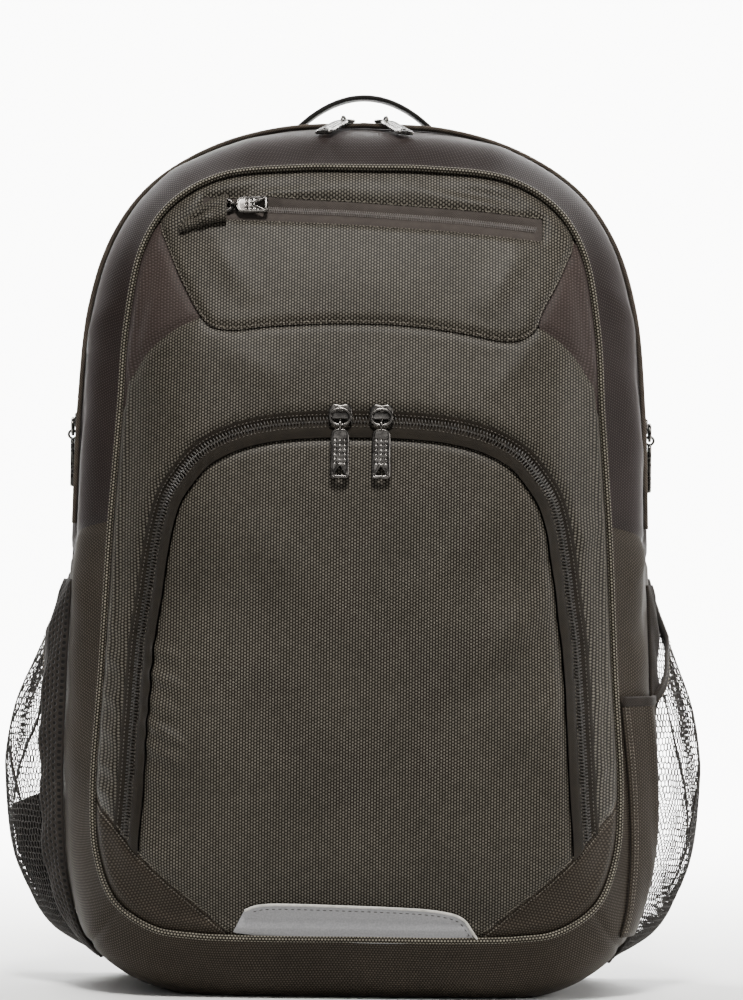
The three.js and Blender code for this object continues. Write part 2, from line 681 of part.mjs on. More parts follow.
function backPanel() {
  const y = LAPTOP_BACK + GAP;
  const rings = [
    shifted(insetRing(bodyRing, () => PAD_MARGIN + PAD_UNDERCUT), y),
    shifted(insetRing(bodyRing, () => PAD_MARGIN), y + 0.5 * BACK_PAD),
    shifted(insetRing(bodyRing, () => PAD_MARGIN + PAD_ROUND), y + BACK_PAD),
  ];
  return chainGeometry(new THREE.Vector3(0, y, FACE_CENTRE), rings,
    new THREE.Vector3(0, y + BACK_PAD, FACE_CENTRE));
}

// Front pieces

function archOutline(offset) {
  const spots = ARCH_ROWS.map((row) => [
    (row.half * POCKET_WIDTH) / 2, POCKET_LOW + row.up * (POCKET_TOP - POCKET_LOW)]);
  const both = [...spots, ...spots.map(([x, z]) => [-x, z]).reverse()];
  return grown(both, offset);
}

const FACE_TOP = WELT_ROWS.at(-1).up * BODY_HEIGHT;

function quickSpot(row, side = 1) {
  return [(side * row.across * QUICK_WIDTH) / 2, FACE_TOP - row.down * QUICK_DROP];
}

function quickOutline(offset) {
  return grown(QUICK_ROWS.map((row) => quickSpot(row)), offset);
}

function yokeOutline(side, offset) {
  const far = side * HALF_WIDTH * 1.4;
  const arc = YOKE_ROWS.map((row) => quickSpot(row, side));
  return grown([...arc, [far, FACE_TOP + QUICK_DROP], [0, FACE_TOP + QUICK_DROP]], offset);
}

function cornerOutline(side, offset) {
  const welt = Math.max(...weltRing.map((point) => point.x));
  return grown(CORNER_ROWS.map((row) => [
    side * (welt - row.across * CORNER_WIDTH), POCKET_LOW + row.up * CORNER_HEIGHT]), offset);
}

// Centre line of the quick-access zip, which falls towards its right end.
function quickZipLevel(x) {
  const t = (x - QUICK_ZIP_LEFT) / (QUICK_ZIP_RIGHT - QUICK_ZIP_LEFT);
  return FACE_TOP - QUICK_ZIP_DROP - QUICK_ZIP_FALL * t * t;
}

function quickZipOutline(offset) {
  const upper = [];
  const lower = [];
  for (let k = 0; k <= 8; k += 1) {
    const x = QUICK_ZIP_LEFT + ((QUICK_ZIP_RIGHT - QUICK_ZIP_LEFT) * k) / 8;
    upper.push([x, quickZipLevel(x) + QUICK_ZIP_HEIGHT / 2]);
    lower.push([x, quickZipLevel(x) - QUICK_ZIP_HEIGHT / 2]);
  }
  return grown([...lower, ...upper.reverse()], offset);
}

function reflectiveStrip() {
  const outline = STRIP_ROWS.map((row) => [
    (row.across * STRIP_WIDTH) / 2, POCKET_LOW - STRIP_SAG + row.up * STRIP_HEIGHT]);
  const outer = faceBowl(GAP + STRIP_THICK).intersect(prismAlongY(outline));
  return outer.subtract(faceSkin(GAP));
}

// Everything behind the front face's outer surface, moved outwards by the lift.
function faceSkin(lift) {
  const outside = FACE_SCALES.map((scale) => (
    faceRing(weltRing, scale, (s) => -lift * (1 - s ** LIFT_SHARPNESS))));
  const middle = faceDepth(0, FACE_CENTRE, 0, 1) - lift;
  return toSolid(chainGeometry(new THREE.Vector3(0, middle, FACE_CENTRE),
    [...outside.reverse(), shifted(weltRing, 0)], new THREE.Vector3(0, 0, FACE_CENTRE)));
}

// Puckered hood over the quick-access slider, open to the right.
function quickZipGarage() {
  const mouth = QUICK_HINGE - EYE_RADIUS - EYE_WIRE - GAP;
  const sections = GARAGE_ROWS.map(({ at, rise }) => {
    const x = mouth - GARAGE_LENGTH * (1 - at);
    const arc = (radius, drop) => [...Array(GARAGE_STEPS + 1).keys()].map((k) => {
      const angle = (Math.PI * k) / GARAGE_STEPS;
      const z = quickZipLevel(mouth) + radius * Math.cos(angle);
      const out = Math.max(0, GARAGE_RISE * rise - drop) * Math.sin(angle) ** GARAGE_FULLNESS;
      return new THREE.Vector3(x, faceYAt(x, z) - out - QUICK_LIFT - GAP, z);
    });
    const inside = arc(GARAGE_HEIGHT / 2 - GARAGE_WALL, GARAGE_WALL);
    return [...arc(GARAGE_HEIGHT / 2, 0), ...inside.reverse()];
  });
  return gridWallGeometry(sections, GARAGE_STEPS + 1);
}

// Side pockets

function mouthLevel(share) {
  return POCKET_MOUTH_FRONT + (POCKET_MOUTH_REAR - POCKET_MOUTH_FRONT) * share ** 0.8;
}

const POCKET_ACROSS = [0, 0.04, 0.14, 0.3, 0.5, 0.7, 0.86, 0.96, 1];
const POCKET_UP_STEPS = 8;

// A wall that bulges from the body's side between two edges, low and high at each share across.
function pocketWall(side, yFront, yRear, lowAt, highAt, bulge, wall, steps) {
  const rows = [];
  for (let k = 0; k <= steps; k += 1) {
    rows.push(POCKET_ACROSS.map((share) => {
      const y = yFront + (yRear - yFront) * share;
      const low = lowAt(share);
      const z = low + ((highAt(share) - low) * k) / steps;
      const up = (z - POCKET_BASE) / (POCKET_MOUTH_REAR - POCKET_BASE);
      const out = bulge * columnAt(BULGE_ROWS, 'up', 'out', up) * Math.sin(Math.PI * share) ** 0.6;
      return { x: sideXAt(y, z) + GAP + Math.max(0, out), y, z };
    }));
  }
  const sections = rows.map((row) => {
    const inner = row.map(({ x, y, z }) => new THREE.Vector3(side * x, y, z));
    const outer = row.map(({ x, y, z }) => new THREE.Vector3(side * (x + wall), y, z));
    return [...inner, ...outer.reverse()];
  });
  return gridWallGeometry(sections, POCKET_ACROSS.length);
}

// Closes a stack of flat double rows: each section is an inner row and the outer row reversed.
function gridWallGeometry(sections, across) {
  const count = sections[0].length;
  const points = sections.flat();
  const faces = [];
  for (let k = 0; k + 1 < sections.length; k += 1) {
    faces.push(...bandFaces(k * count, (k + 1) * count, count));
  }
  const cap = (start, flip) => {
    for (let i = 0; i + 1 < across; i += 1) {
      const [a, b, c, d] = [start + i, start + i + 1, start + count - 2 - i, start + count - 1 - i];
      faces.push(flip ? [a, b, c] : [a, c, b], flip ? [a, c, d] : [a, d, c]);
    }
  };
  cap(0, false);
  cap((sections.length - 1) * count, true);
  return trianglesToGeometry(points, faces);
}

// The gusset and the space inside it, grown by the gap: what lies on the body is cut clear of it.
function gussetEnvelope() {
  const rings = gussetRings.map((ring) => insetRing(ring, () => -GAP));
  const [front, rear] = [middleOf(rings[0]), middleOf(rings.at(-1))];
  return toSolid(chainGeometry(front, rings, rear));
}

function clearOfBody(geometry) {
  return mainBody(toSolid(geometry).subtract(gussetEnvelope()).subtract(laptopOutside(GAP)));
}

function sideNet(side, bulge) {
  return clearOfBody(pocketWall(side, POCKET_FRONT_Y, POCKET_REAR_Y, () => POCKET_BASE,
    (share) => mouthLevel(share) - BINDING_WIDTH - GAP, bulge, NET_WALL, POCKET_UP_STEPS));
}

function netBinding(side, bulge) {
  return clearOfBody(pocketWall(side, POCKET_FRONT_Y, POCKET_REAR_Y,
    (share) => mouthLevel(share) - BINDING_WIDTH, mouthLevel, bulge, BINDING_WALL, 1));
}

function pocketFront(side) {
  const front = -0.4 * FRONT_REACH;
  return clearOfBody(pocketWall(side, front, POCKET_FRONT_Y - GAP, () => POCKET_BASE + FLANK_LIFT,
    () => POCKET_MOUTH_FRONT, FLANK_BULGE, FLANK_WALL, 6));
}

// Straps

// A flat band along points, each with its width and thickness; across points over the band.
function bandGeometry(spots, across) {
  const sections = spots.map((spot, i) => {
    const before = spots[Math.max(0, i - 1)].at;
    const after = spots[Math.min(spots.length - 1, i + 1)].at;
    const along = after.clone().sub(before).normalize();
    const normal = new THREE.Vector3().crossVectors(across, along).normalize();
    const over = new THREE.Vector3().crossVectors(along, normal);
    const [w, h] = [spot.width / 2, spot.thick / 2];
    const round = Math.min(h, w) * 0.9;
    const corners = [[w, -h + round], [w, h - round], [w - round, h], [-w + round, h],
      [-w, h - round], [-w, -h + round], [-w + round, -h], [w - round, -h]];
    return corners.map(([a, b]) => spot.at.clone().addScaledVector(over, a).addScaledVector(normal, b));
  });
  return sweptGeometry(sections);
}

const STRAP_BACK_Y = LAPTOP_BACK + GAP + BACK_PAD;
const STRAP_SAMPLES = 14;

function strapSpots(side) {
  const bow = side > 0 ? STRAP_BOW_RIGHT : 0;
  const points = STRAP_ROWS.map((row) => new THREE.Vector3(
    side * (row.across * STRAP_SPREAD + row.bow * bow),
    STRAP_BACK_Y + STRAP_THICK / 2 + row.stand * STRAP_STAND,
    BODY_HEIGHT - STRAP_TOP_DROP - row.down * STRAP_DROP));
  const curve = new THREE.CatmullRomCurve3(points);
  return [...Array(STRAP_SAMPLES + 1).keys()].map((k) => {
    const share = (k / STRAP_SAMPLES) * (STRAP_ROWS.length - 1);
    const row = Math.min(STRAP_ROWS.length - 2, Math.floor(share));
    const wide = THREE.MathUtils.lerp(STRAP_ROWS[row].wide, STRAP_ROWS[row + 1].wide, share - row);
    return { at: curve.getPoint(k / STRAP_SAMPLES), width: wide * STRAP_WIDTH, thick: STRAP_THICK };
  });
}

const acrossX = new THREE.Vector3(1, 0, 0);

// Ladder-lock buckle at the lower end of a strap: a plate with two slots.
function adjusterSpot(side) {
  const end = strapSpots(side).at(-1).at;
  return new THREE.Vector3(end.x, end.y, end.z - 3 * GAP - ADJUSTER_HEIGHT / 2);
}

function adjuster() {
  const [w, h] = [ADJUSTER_WIDTH / 2, ADJUSTER_HEIGHT / 2];
  const [cw, ch] = [w - ADJUSTER_CORNER, h - ADJUSTER_CORNER];
  const shape = new THREE.Shape([[-w, -ch], [-cw, -h], [cw, -h], [w, -ch], [w, ch],
    [cw, h], [-cw, h], [-w, ch]].map(([x, y]) => new THREE.Vector2(x, y)));
  const slotHalf = w - ADJUSTER_BAR;
  const slotHeight = (ADJUSTER_HEIGHT - 3 * ADJUSTER_BAR) / 2;
  for (const low of [-h + ADJUSTER_BAR, ADJUSTER_BAR / 2]) {
    shape.holes.push(new THREE.Path([[-slotHalf, low], [-slotHalf, low + slotHeight],
      [slotHalf, low + slotHeight], [slotHalf, low]].map(([x, y]) => new THREE.Vector2(x, y))));
  }
  const plate = new THREE.ExtrudeGeometry(shape, { depth: ADJUSTER_THICK, bevelEnabled: false });
  plate.rotateX(Math.PI / 2);
  plate.translate(0, ADJUSTER_THICK / 2, 0);
  return plate;
}

// Webbing from the corner anchor up through the buckle's lower slot and down again as a tail.
function webbing(side) {
  const lock = adjusterSpot(side);
  const bar = lock.z - (ADJUSTER_HEIGHT - ADJUSTER_BAR) / 2;
  const turn = Math.hypot(ADJUSTER_THICK, ADJUSTER_BAR) / 2 + WEB_THICK / 2 + GAP;
  const foot = ANCHOR_LEVEL + ANCHOR_HEIGHT + GAP;
  const anchorY = STRAP_BACK_Y + GAP + ANCHOR_THICK / 2;
  const route = [[anchorY, foot], [anchorY + WEB_THICK / 2, foot + WEB_LEAD],
    [lock.y - turn, bar - WEB_APPROACH]];
  for (let k = 0; k <= 6; k += 1) {
    const angle = Math.PI * (1 - k / 6);
    route.push([lock.y + turn * Math.cos(angle), bar + turn * Math.sin(angle)]);
  }
  route.push([lock.y + turn + WEB_SLACK, bar - TAIL_LENGTH / 2], [lock.y + turn, bar - TAIL_LENGTH]);
  return route.map(([y, z]) => ({
    at: new THREE.Vector3(lock.x, y, z), width: WEB_WIDTH, thick: WEB_THICK }));
}

// Folded triangle of webbing sewn on the back at a lower corner.
function anchor(side) {
  const lock = adjusterSpot(side);
  const low = ANCHOR_LEVEL;
  const high = ANCHOR_LEVEL + ANCHOR_HEIGHT;
  const [w, tip] = [ANCHOR_WIDTH / 2, WEB_WIDTH / 2 + 1];
  const shape = new THREE.Shape([[-w, low], [w, low], [tip, high], [-tip, high]].map(([x, z]) => (
    new THREE.Vector2(lock.x + x, z))));
  const patch = new THREE.ExtrudeGeometry(shape, { depth: ANCHOR_THICK, bevelEnabled: false });
  patch.rotateX(Math.PI / 2);
  patch.translate(0, STRAP_BACK_Y + GAP + ANCHOR_THICK, 0);
  return patch;
}

function haulLoop() {
  const y = MOUTH_MIDDLE + MOUTH_WIDTH / 2 + LOOP_WIDTH / 2 + LOOP_CLEAR;
  const low = LOOP_FOOT_SHARE * BODY_HEIGHT;
  const spots = [...Array(LOOP_STEPS + 1).keys()].map((k) => {
    const angle = (Math.PI * k) / LOOP_STEPS;
    const x = -LOOP_HALF * Math.cos(angle);
    const z = low + (BODY_HEIGHT + LOOP_RISE - low) * Math.sin(angle) ** LOOP_FULLNESS;
    return { at: new THREE.Vector3(x, y, z), width: LOOP_WIDTH, thick: LOOP_THICK };
  });
  const loop = toSolid(bandGeometry(spots, new THREE.Vector3(0, 1, 0)));
  return mainBody(loop.subtract(laptopOutside(GAP)));
}

// Zip hardware, in a frame with its hinge axis along X at the origin, the cloth at
// y = BAR_HEIGHT and the pull hanging towards -Z.

function ellipseRing(halfX, halfZ, wire) {
  const rings = [];
  for (let k = 0; k < RING_SIDES; k += 1) {
    const angle = (2 * Math.PI * (k + 0.5)) / RING_SIDES;
    const out = new THREE.Vector3(Math.cos(angle) / halfX, 0, Math.sin(angle) / halfZ).normalize();
    const centre = new THREE.Vector3(halfX * Math.cos(angle), 0, halfZ * Math.sin(angle));
    rings.push([...Array(WIRE_SIDES).keys()].map((m) => {
      const turn = (2 * Math.PI * (m + 0.5)) / WIRE_SIDES;
      return centre.clone().addScaledVector(out, wire * Math.cos(turn))
        .add(new THREE.Vector3(0, wire * Math.sin(turn), 0));
    }));
  }
  return loopGeometry(rings);
}

function zipSlider(width) {
  const [w, l] = [width / 2, SLIDER_LENGTH / 2];
  const [corner, nose] = [SLIDER_CORNER, SLIDER_NOSE];
  const plate = new THREE.Shape([[-w, -l + corner], [-w + corner, -l], [w - corner, -l],
    [w, -l + corner], [w, l - nose], [w - nose, l], [-w + nose, l], [-w, l - nose]].map(
    ([x, y]) => new THREE.Vector2(x, y)));
  const base = new THREE.ExtrudeGeometry(plate, { depth: SLIDER_BASE, bevelEnabled: false });
  base.rotateX(Math.PI / 2);
  base.translate(0, BAR_HEIGHT - GAP, EYE_RADIUS + EYE_WIRE + GAP + l);
  const post = new THREE.BoxGeometry(POST_SHARE * width, BAR_HEIGHT - GAP, POST_DEPTH);
  post.translate(0, (BAR_HEIGHT - GAP) / 2, SLIDER_LENGTH - POST_SET);
  const ring = ellipseRing(w - RING_INSET, l, BAR_RADIUS);
  ring.translate(0, 0, l);
  return toSolid(base).add(toSolid(post)).add(toSolid(ring));
}

function zipPull(length) {
  const eye = new THREE.TorusGeometry(EYE_RADIUS, EYE_WIRE, WIRE_SIDES, EYE_SIDES);
  eye.rotateY(Math.PI / 2);
  const w = PULL_WIDTH / 2;
  const top = -EYE_RADIUS;
  const low = top - length;
  const neck = PULL_NECK / 2;
  const hole = PULL_HOLE / 2;
  const sill = low + PULL_RIM;
  const flat = (corners) => corners.map(([x, y]) => new THREE.Vector2(x, y));
  const plate = new THREE.Shape(flat([[-neck, top], [-w, top - PULL_SHOULDER],
    [-w, low + PULL_CORNER], [-w + PULL_CORNER, low], [w - PULL_CORNER, low],
    [w, low + PULL_CORNER], [w, top - PULL_SHOULDER], [neck, top]]));
  plate.holes.push(new THREE.Path(flat([[-hole, sill], [hole, sill], [0, sill + PULL_APEX]])));
  const body = new THREE.ExtrudeGeometry(plate, { depth: PULL_THICK, bevelEnabled: false });
  body.rotateX(Math.PI / 2);
  body.translate(0, PULL_THICK / 2, 0);
  return toSolid(eye).add(toSolid(body));
}

// Assembly

const group = new THREE.Group();

function addPiece(name, shape, finish, parent = group) {
  const geometry = shape.isBufferGeometry ? shape : toGeometry(shape);
  const mesh = new THREE.Mesh(geometry, finishes[finish]());
  mesh.name = name;
  parent.add(mesh);
  return mesh;
}

function addBody() {
  const gusset = gussetSolid();
  const lower = gusset.intersect(gussetHalf(false));
  const base = prismAlongY(grown(baseOutline(), -GAP / 2));
  const aroundBase = prismAlongY(grown(baseOutline(), GAP / 2));
  addPiece('gusset_upper', mainBody(gusset.intersect(gussetHalf(true))), 'plain');
  addPiece('base_panel', mainBody(lower.intersect(base)), 'weave');
  const sides = lower.subtract(aroundBase);
  addPiece('side_panel_left', mainBody(sides.intersect(halfSpace(-1))), 'weave');
  addPiece('side_panel_right', mainBody(sides.intersect(halfSpace(1))), 'weave');
  addPiece('main_zip', mainZip(), 'zip');
  addPiece('front_divider', frontDivider(), 'plain');
  addPiece('laptop_compartment', mainBody(laptopCompartment()), 'plain');
  addPiece('laptop_zip_left', laptopZip(-1), 'zip');
  addPiece('laptop_zip_right', laptopZip(1), 'zip');
  addPiece('back_panel', backPanel(), 'plain');
}

function addFront() {
  const face = faceBowl(0);
  const raised = faceBowl(QUICK_LIFT);
  const half = GAP / 2;
  const cut = (outlineOf, ...rest) => prismAlongY(outlineOf(...rest));
  const corners = [-1, 1].map((side) => cut(cornerOutline, side, half));
  const noCorners = face.subtract(corners[0]).subtract(corners[1]);
  addPiece('bottom_corner_left', mainBody(face.intersect(cut(cornerOutline, -1, -half))), 'weave');
  addPiece('bottom_corner_right', mainBody(face.intersect(cut(cornerOutline, 1, -half))), 'weave');
  addPiece('lower_pocket_panel',
    mainBody(noCorners.intersect(cut(archOutline, -TAPE_INSIDE - half))), 'weave');
  addPiece('lower_pocket_zip', mainBody(noCorners.intersect(cut(archOutline, TAPE_OUTSIDE - half))
    .subtract(cut(archOutline, half - TAPE_INSIDE))), 'zip');
  const aroundQuick = cut(quickOutline, half);
  const above = noCorners.subtract(cut(archOutline, TAPE_OUTSIDE + half)).subtract(aroundQuick);
  addPiece('front_panel', mainBody(above.subtract(cut(yokeOutline, -1, half))
    .subtract(cut(yokeOutline, 1, half))), 'weave');
  addPiece('yoke_left', mainBody(above.intersect(cut(yokeOutline, -1, -half))
    .intersect(halfSpace(-1))), 'plain');
  addPiece('yoke_right', mainBody(above.intersect(cut(yokeOutline, 1, -half))
    .intersect(halfSpace(1))), 'plain');
  addPiece('quick_pocket_panel', mainBody(raised.intersect(cut(quickOutline, -half))
    .subtract(cut(quickZipOutline, half))), 'weave');
  addPiece('quick_pocket_zip', mainBody(face.intersect(cut(quickZipOutline, -half))), 'zip');
  addPiece('quick_zip_garage', quickZipGarage(), 'weave');
  addPiece('reflective_strip', mainBody(reflectiveStrip()), 'reflective');
}

function addSides() {
  addPiece('side_net_left', sideNet(-1, BULGE_LEFT), 'net');
  addPiece('side_net_right', sideNet(1, BULGE_RIGHT), 'net');
  addPiece('net_binding_left', netBinding(-1, BULGE_LEFT), 'webbing');
  addPiece('net_binding_right', netBinding(1, BULGE_RIGHT), 'webbing');
  addPiece('pocket_front_right', pocketFront(1), 'plain');
}

function addCarrying() {
  addPiece('haul_loop', haulLoop(), 'webbing');
  for (const [word, side] of [['left', -1], ['right', 1]]) {
    addPiece(`shoulder_strap_${word}`, bandGeometry(strapSpots(side), acrossX), 'plain');
    addPiece(`strap_webbing_${word}`, bandGeometry(webbing(side), acrossX), 'webbing');
    addPiece(`strap_anchor_${word}`, anchor(side), 'webbing');
    const lock = addPiece(`strap_adjuster_${word}`, adjuster(), 'plastic');
    lock.position.copy(adjusterSpot(side));
  }
}

// Puts a slider and its pull on a place of the cloth. The cloth's outward direction there and
// the direction that the pull lies in are given, with the angle that it droops to meet cloth
// that falls away. The hinge stands BAR_HEIGHT off the cloth.
function addHardware(name, at, outward, lies, droop, width = SLIDER_WIDTH, length = PULL_LENGTH) {
  const out = outward.clone().normalize();
  const up = lies.clone().addScaledVector(out, -lies.dot(out)).normalize().negate();
  const x = new THREE.Vector3().crossVectors(up, out).normalize();
  const turn = new THREE.Matrix4().makeBasis(x, out.clone().negate(), up);
  const frame = new THREE.Group();
  frame.position.copy(at).addScaledVector(out, BAR_HEIGHT);
  frame.quaternion.setFromRotationMatrix(turn);
  addPiece(`${name}_slider`, zipSlider(width), 'metal', frame);
  addPiece(`${name}_pull`, zipPull(length), 'metal', frame).rotation.x = droop;
  group.add(frame);
}

// Outward direction of the front face at a place.
function faceOut(x, z) {
  const step = 6;
  const acrossSlope = (faceYAt(x + step, z) - faceYAt(x - step, z)) / (2 * step);
  const upSlope = (faceYAt(x, z + step) - faceYAt(x, z - step)) / (2 * step);
  return new THREE.Vector3(acrossSlope, -1, upSlope).normalize();
}

function addZipHardware() {
  const lowerZ = POCKET_TOP - EYE_RADIUS - EYE_WIRE;
  const down = new THREE.Vector3(0, 0, -1);
  const eyeToMiddle = EYE_RADIUS + EYE_WIRE + GAP + SLIDER_LENGTH / 2;
  const mainY = MAIN_ZIP_FRONT + MAIN_ZIP_WIDTH / 2 - 1 - eyeToMiddle * Math.cos(MAIN_LIE);
  const laptopX = sideXAt(MOUTH_MIDDLE, MOUTH_END - PULL_WIDTH);
  for (const [word, side] of [['left', -1], ['right', 1]]) {
    const x = side * LOWER_SLIDER_X;
    const out = faceOut(x, lowerZ + SLIDER_LENGTH).setX(0);
    const below = faceOut(x, lowerZ - PULL_LENGTH / 2).setX(0);
    addHardware(`lower_${word}`, new THREE.Vector3(x, faceYAt(x, lowerZ), lowerZ), out, down,
      out.angleTo(below));
    const top = new THREE.Vector3(side * MAIN_SLIDER_X, mainY, BODY_HEIGHT - ZIP_DIP);
    addHardware(`main_${word}`, top, new THREE.Vector3(side * MAIN_SLOPE, 0, 1),
      new THREE.Vector3(side * Math.sin(MAIN_LIE), -Math.cos(MAIN_LIE), 0), MAIN_DROOP,
      SMALL_SLIDER_WIDTH);
    addHardware(`laptop_${word}`,
      new THREE.Vector3(side * laptopX, MOUTH_MIDDLE, MOUTH_END - PULL_WIDTH),
      new THREE.Vector3(side, 0, 0), down, 0);
  }
  const quickZ = quickZipLevel(QUICK_HINGE);
  addHardware('quick', new THREE.Vector3(QUICK_HINGE, faceYAt(QUICK_HINGE, quickZ), quickZ),
    faceOut(QUICK_HINGE, quickZ), new THREE.Vector3(1, 0, 0), 0, SMALL_SLIDER_WIDTH,
    QUICK_PULL_LENGTH);
}

addBody();
addFront();
addSides();
addCarrying();
addZipHardware();

export default group;
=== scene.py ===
# Laptop backpack: the looks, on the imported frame. Tables are in millimetres and objects in metres,
# +Z up, the front face towards -Y.
import math

import bmesh
import bpy
import numpy as np
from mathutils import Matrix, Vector


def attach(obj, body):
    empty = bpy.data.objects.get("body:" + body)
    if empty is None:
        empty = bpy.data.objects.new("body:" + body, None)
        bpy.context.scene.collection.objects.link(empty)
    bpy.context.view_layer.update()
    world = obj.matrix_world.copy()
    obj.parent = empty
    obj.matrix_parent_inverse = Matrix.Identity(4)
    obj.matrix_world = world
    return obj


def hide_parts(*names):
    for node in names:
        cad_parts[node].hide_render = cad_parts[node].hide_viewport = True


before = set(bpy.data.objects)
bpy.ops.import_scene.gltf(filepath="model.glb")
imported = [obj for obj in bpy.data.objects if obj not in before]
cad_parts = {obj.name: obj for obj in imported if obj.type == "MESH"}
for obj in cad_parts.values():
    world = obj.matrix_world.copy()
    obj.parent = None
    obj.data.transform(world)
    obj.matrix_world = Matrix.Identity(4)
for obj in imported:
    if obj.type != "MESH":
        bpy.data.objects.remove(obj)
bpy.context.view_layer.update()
MM = 0.001
BAG = "bag"

# Sizes that the source of the solids has too
BODY_HEIGHT, BODY_WIDTH, FRONT_REACH = 477.0, 328.0, 104.0
CLOTH, GAP = 2.2, 0.3
LAPTOP_FRONT, LAPTOP_BACK, BACK_CORNER = 48.0, 88.0, 5.0
BACK_PAD, PAD_MARGIN = 10.0, 13.0
ZIP_FRONT, ZIP_REAR, ZIP_END, ZIP_DIP = 14.0, 24.0, 250.0, 3.5
MOUTH_MIDDLE, MOUTH_WIDTH, MOUTH_END = 66.0, 12.0, 313.0
LAPTOP_ZIP_WIDTH, LAPTOP_ZIP_LOW = 8.0, 150.0
SEAM_HEIGHT, SEAM_FALL = 245.0, 0.22
POCKET_WIDTH, POCKET_TOP, POCKET_LOW = 250.0, 310.0, 33.0
TAPE_OUTSIDE, TAPE_INSIDE = 5.5, 9.0
QUICK_LIFT, QUICK_WIDTH, QUICK_DROP = 1.8, 232.0, 100.0
QUICK_LEFT, QUICK_RIGHT, QUICK_HEIGHT = -86.0, 96.0, 10.0
QUICK_ZIP_DROP, QUICK_FALL, QUICK_HINGE = 23.2, 10.0, -70.5
CORNER_WIDTH, CORNER_HEIGHT = 74.0, 72.0
STRIP_WIDTH, STRIP_HEIGHT, STRIP_SAG = 131.0, 20.0, 1.5
POCKET_BASE, MOUTH_FRONT, MOUTH_REAR = 16.0, 163.0, 226.0
POCKET_FRONT_Y, POCKET_REAR_Y = -12.0, 80.0
BULGE_LEFT, BULGE_RIGHT = 30.0, 25.0
STRAP_WIDTH, STRAP_THICK, STRAP_TOP, STRAP_DROP = 68.0, 11.0, 446.0, 300.0
STRAP_SPREAD, STRAP_STAND, STRAP_BOW = 134.0, 60.0, 10.0
WEB_WIDTH, WEB_THICK, TAIL_LENGTH = 20.0, 1.6, 60.0
ADJUSTER_HEIGHT, ADJUSTER_BAR, ADJUSTER_THICK = 24.0, 4.0, 4.0
ANCHOR_LEVEL, ANCHOR_HEIGHT, ANCHOR_THICK = 30.0, 34.0, 3.0
LOOP_HALF, LOOP_RISE, LOOP_WIDTH, LOOP_THICK = 50.0, 18.0, 20.0, 2.6
SIDES = ((-1, "left"), (1, "right"))

HALF_WIDTH = BODY_WIDTH / 2
FACE_CENTRE = 0.48 * BODY_HEIGHT
FACE_TOP = 0.94 * BODY_HEIGHT
STRAP_BACK_Y = LAPTOP_BACK + GAP + BACK_PAD

# up, half: shares of the body's height and half width
BODY_ROWS = [
    (0, 0), (0, 0.4), (0.003, 0.6), (0.018, 0.78), (0.055, 0.915), (0.115, 0.98), (0.21, 1),
    (0.36, 0.992), (0.51, 0.977), (0.67, 0.961), (0.785, 0.927), (0.865, 0.852), (0.925, 0.725),
    (0.97, 0.52), (0.994, 0.28), (1, 0),
]
# up, half, ahead: ahead is a share of FRONT_REACH
GUSSET_ROWS = [
    (0, 0, 0.56), (0, 0.4, 0.56), (0.006, 0.57, 0.55), (0.025, 0.73, 0.53), (0.062, 0.865, 0.46),
    (0.12, 0.93, 0.37), (0.21, 0.958, 0.31), (0.36, 0.952, 0.275), (0.515, 0.932, 0.24),
    (0.668, 0.912, 0.22), (0.778, 0.88, 0.2), (0.858, 0.812, 0.19), (0.915, 0.7, 0.17),
    (0.957, 0.51, 0.15), (0.974, 0.28, 0.14), (0.977, 0, 0.14),
]
WELT_ROWS = [
    (0.069, 0, 0.8), (0.069, 0.37, 0.8), (0.071, 0.53, 0.79), (0.078, 0.66, 0.77),
    (0.108, 0.79, 0.7), (0.16, 0.853, 0.6), (0.228, 0.868, 0.55), (0.37, 0.846, 0.5),
    (0.52, 0.825, 0.47), (0.66, 0.797, 0.44), (0.76, 0.778, 0.42), (0.847, 0.728, 0.4),
    (0.895, 0.64, 0.39), (0.928, 0.48, 0.385), (0.939, 0.22, 0.385), (0.94, 0, 0.385),
]
# up, ahead
PROFILE_ROWS = [
    (0, 0.58), (0.07, 0.8), (0.126, 0.93), (0.23, 0.99), (0.315, 1), (0.525, 0.942),
    (0.656, 0.846), (0.778, 0.692), (0.908, 0.48), (0.94, 0.385),
]
# half, up
ARCH_ROWS = [
    (1, -0.2), (1, 0.18), (0.985, 0.27), (0.965, 0.42), (0.94, 0.58), (0.915, 0.66),
    (0.89, 0.74), (0.865, 0.8), (0.83, 0.853), (0.775, 0.893), (0.69, 0.937), (0.56, 0.97),
    (0.4, 0.99), (0.15, 1),
]
# across, down
QUICK_ROWS = [
    (-1.12, -0.6), (-0.96, 0.3), (-0.895, 0.5), (-0.83, 0.66), (-0.755, 0.81), (-0.7, 0.875),
    (-0.6, 0.895), (-0.43, 0.872), (-0.02, 0.85), (0.22, 0.86), (0.46, 0.895), (0.67, 0.94),
    (0.75, 0.925), (0.81, 0.87), (0.84, 0.78), (0.92, 0.6), (0.99, 0.4), (1.14, -0.6),
]
YOKE_ROWS = [
    (0.7, 0.8), (0.77, 0.84), (0.86, 0.89), (0.95, 0.97), (1.03, 1.07), (1.09, 1.2),
    (1.13, 1.34), (1.5, 1.36),
]
# across, up
STRIP_ROWS = [
    (-1, 0.225), (-0.62, 0.08), (0, -0.02), (0.5, -0.015), (1, 0.1), (0.88, 0.675), (0.7, 0.87),
    (-0.1, 1), (-0.78, 1), (-0.9, 0.86),
]
CORNER_ROWS = [(1.27, -1), (1, 0.04), (0.36, 0.6), (0, 1.03), (-0.5, 1.2), (-0.5, -1)]
BASE_ROWS = [(0.756, 0.113), (0.9, 0.042), (1.2, 0.017), (1.2, -0.06)]
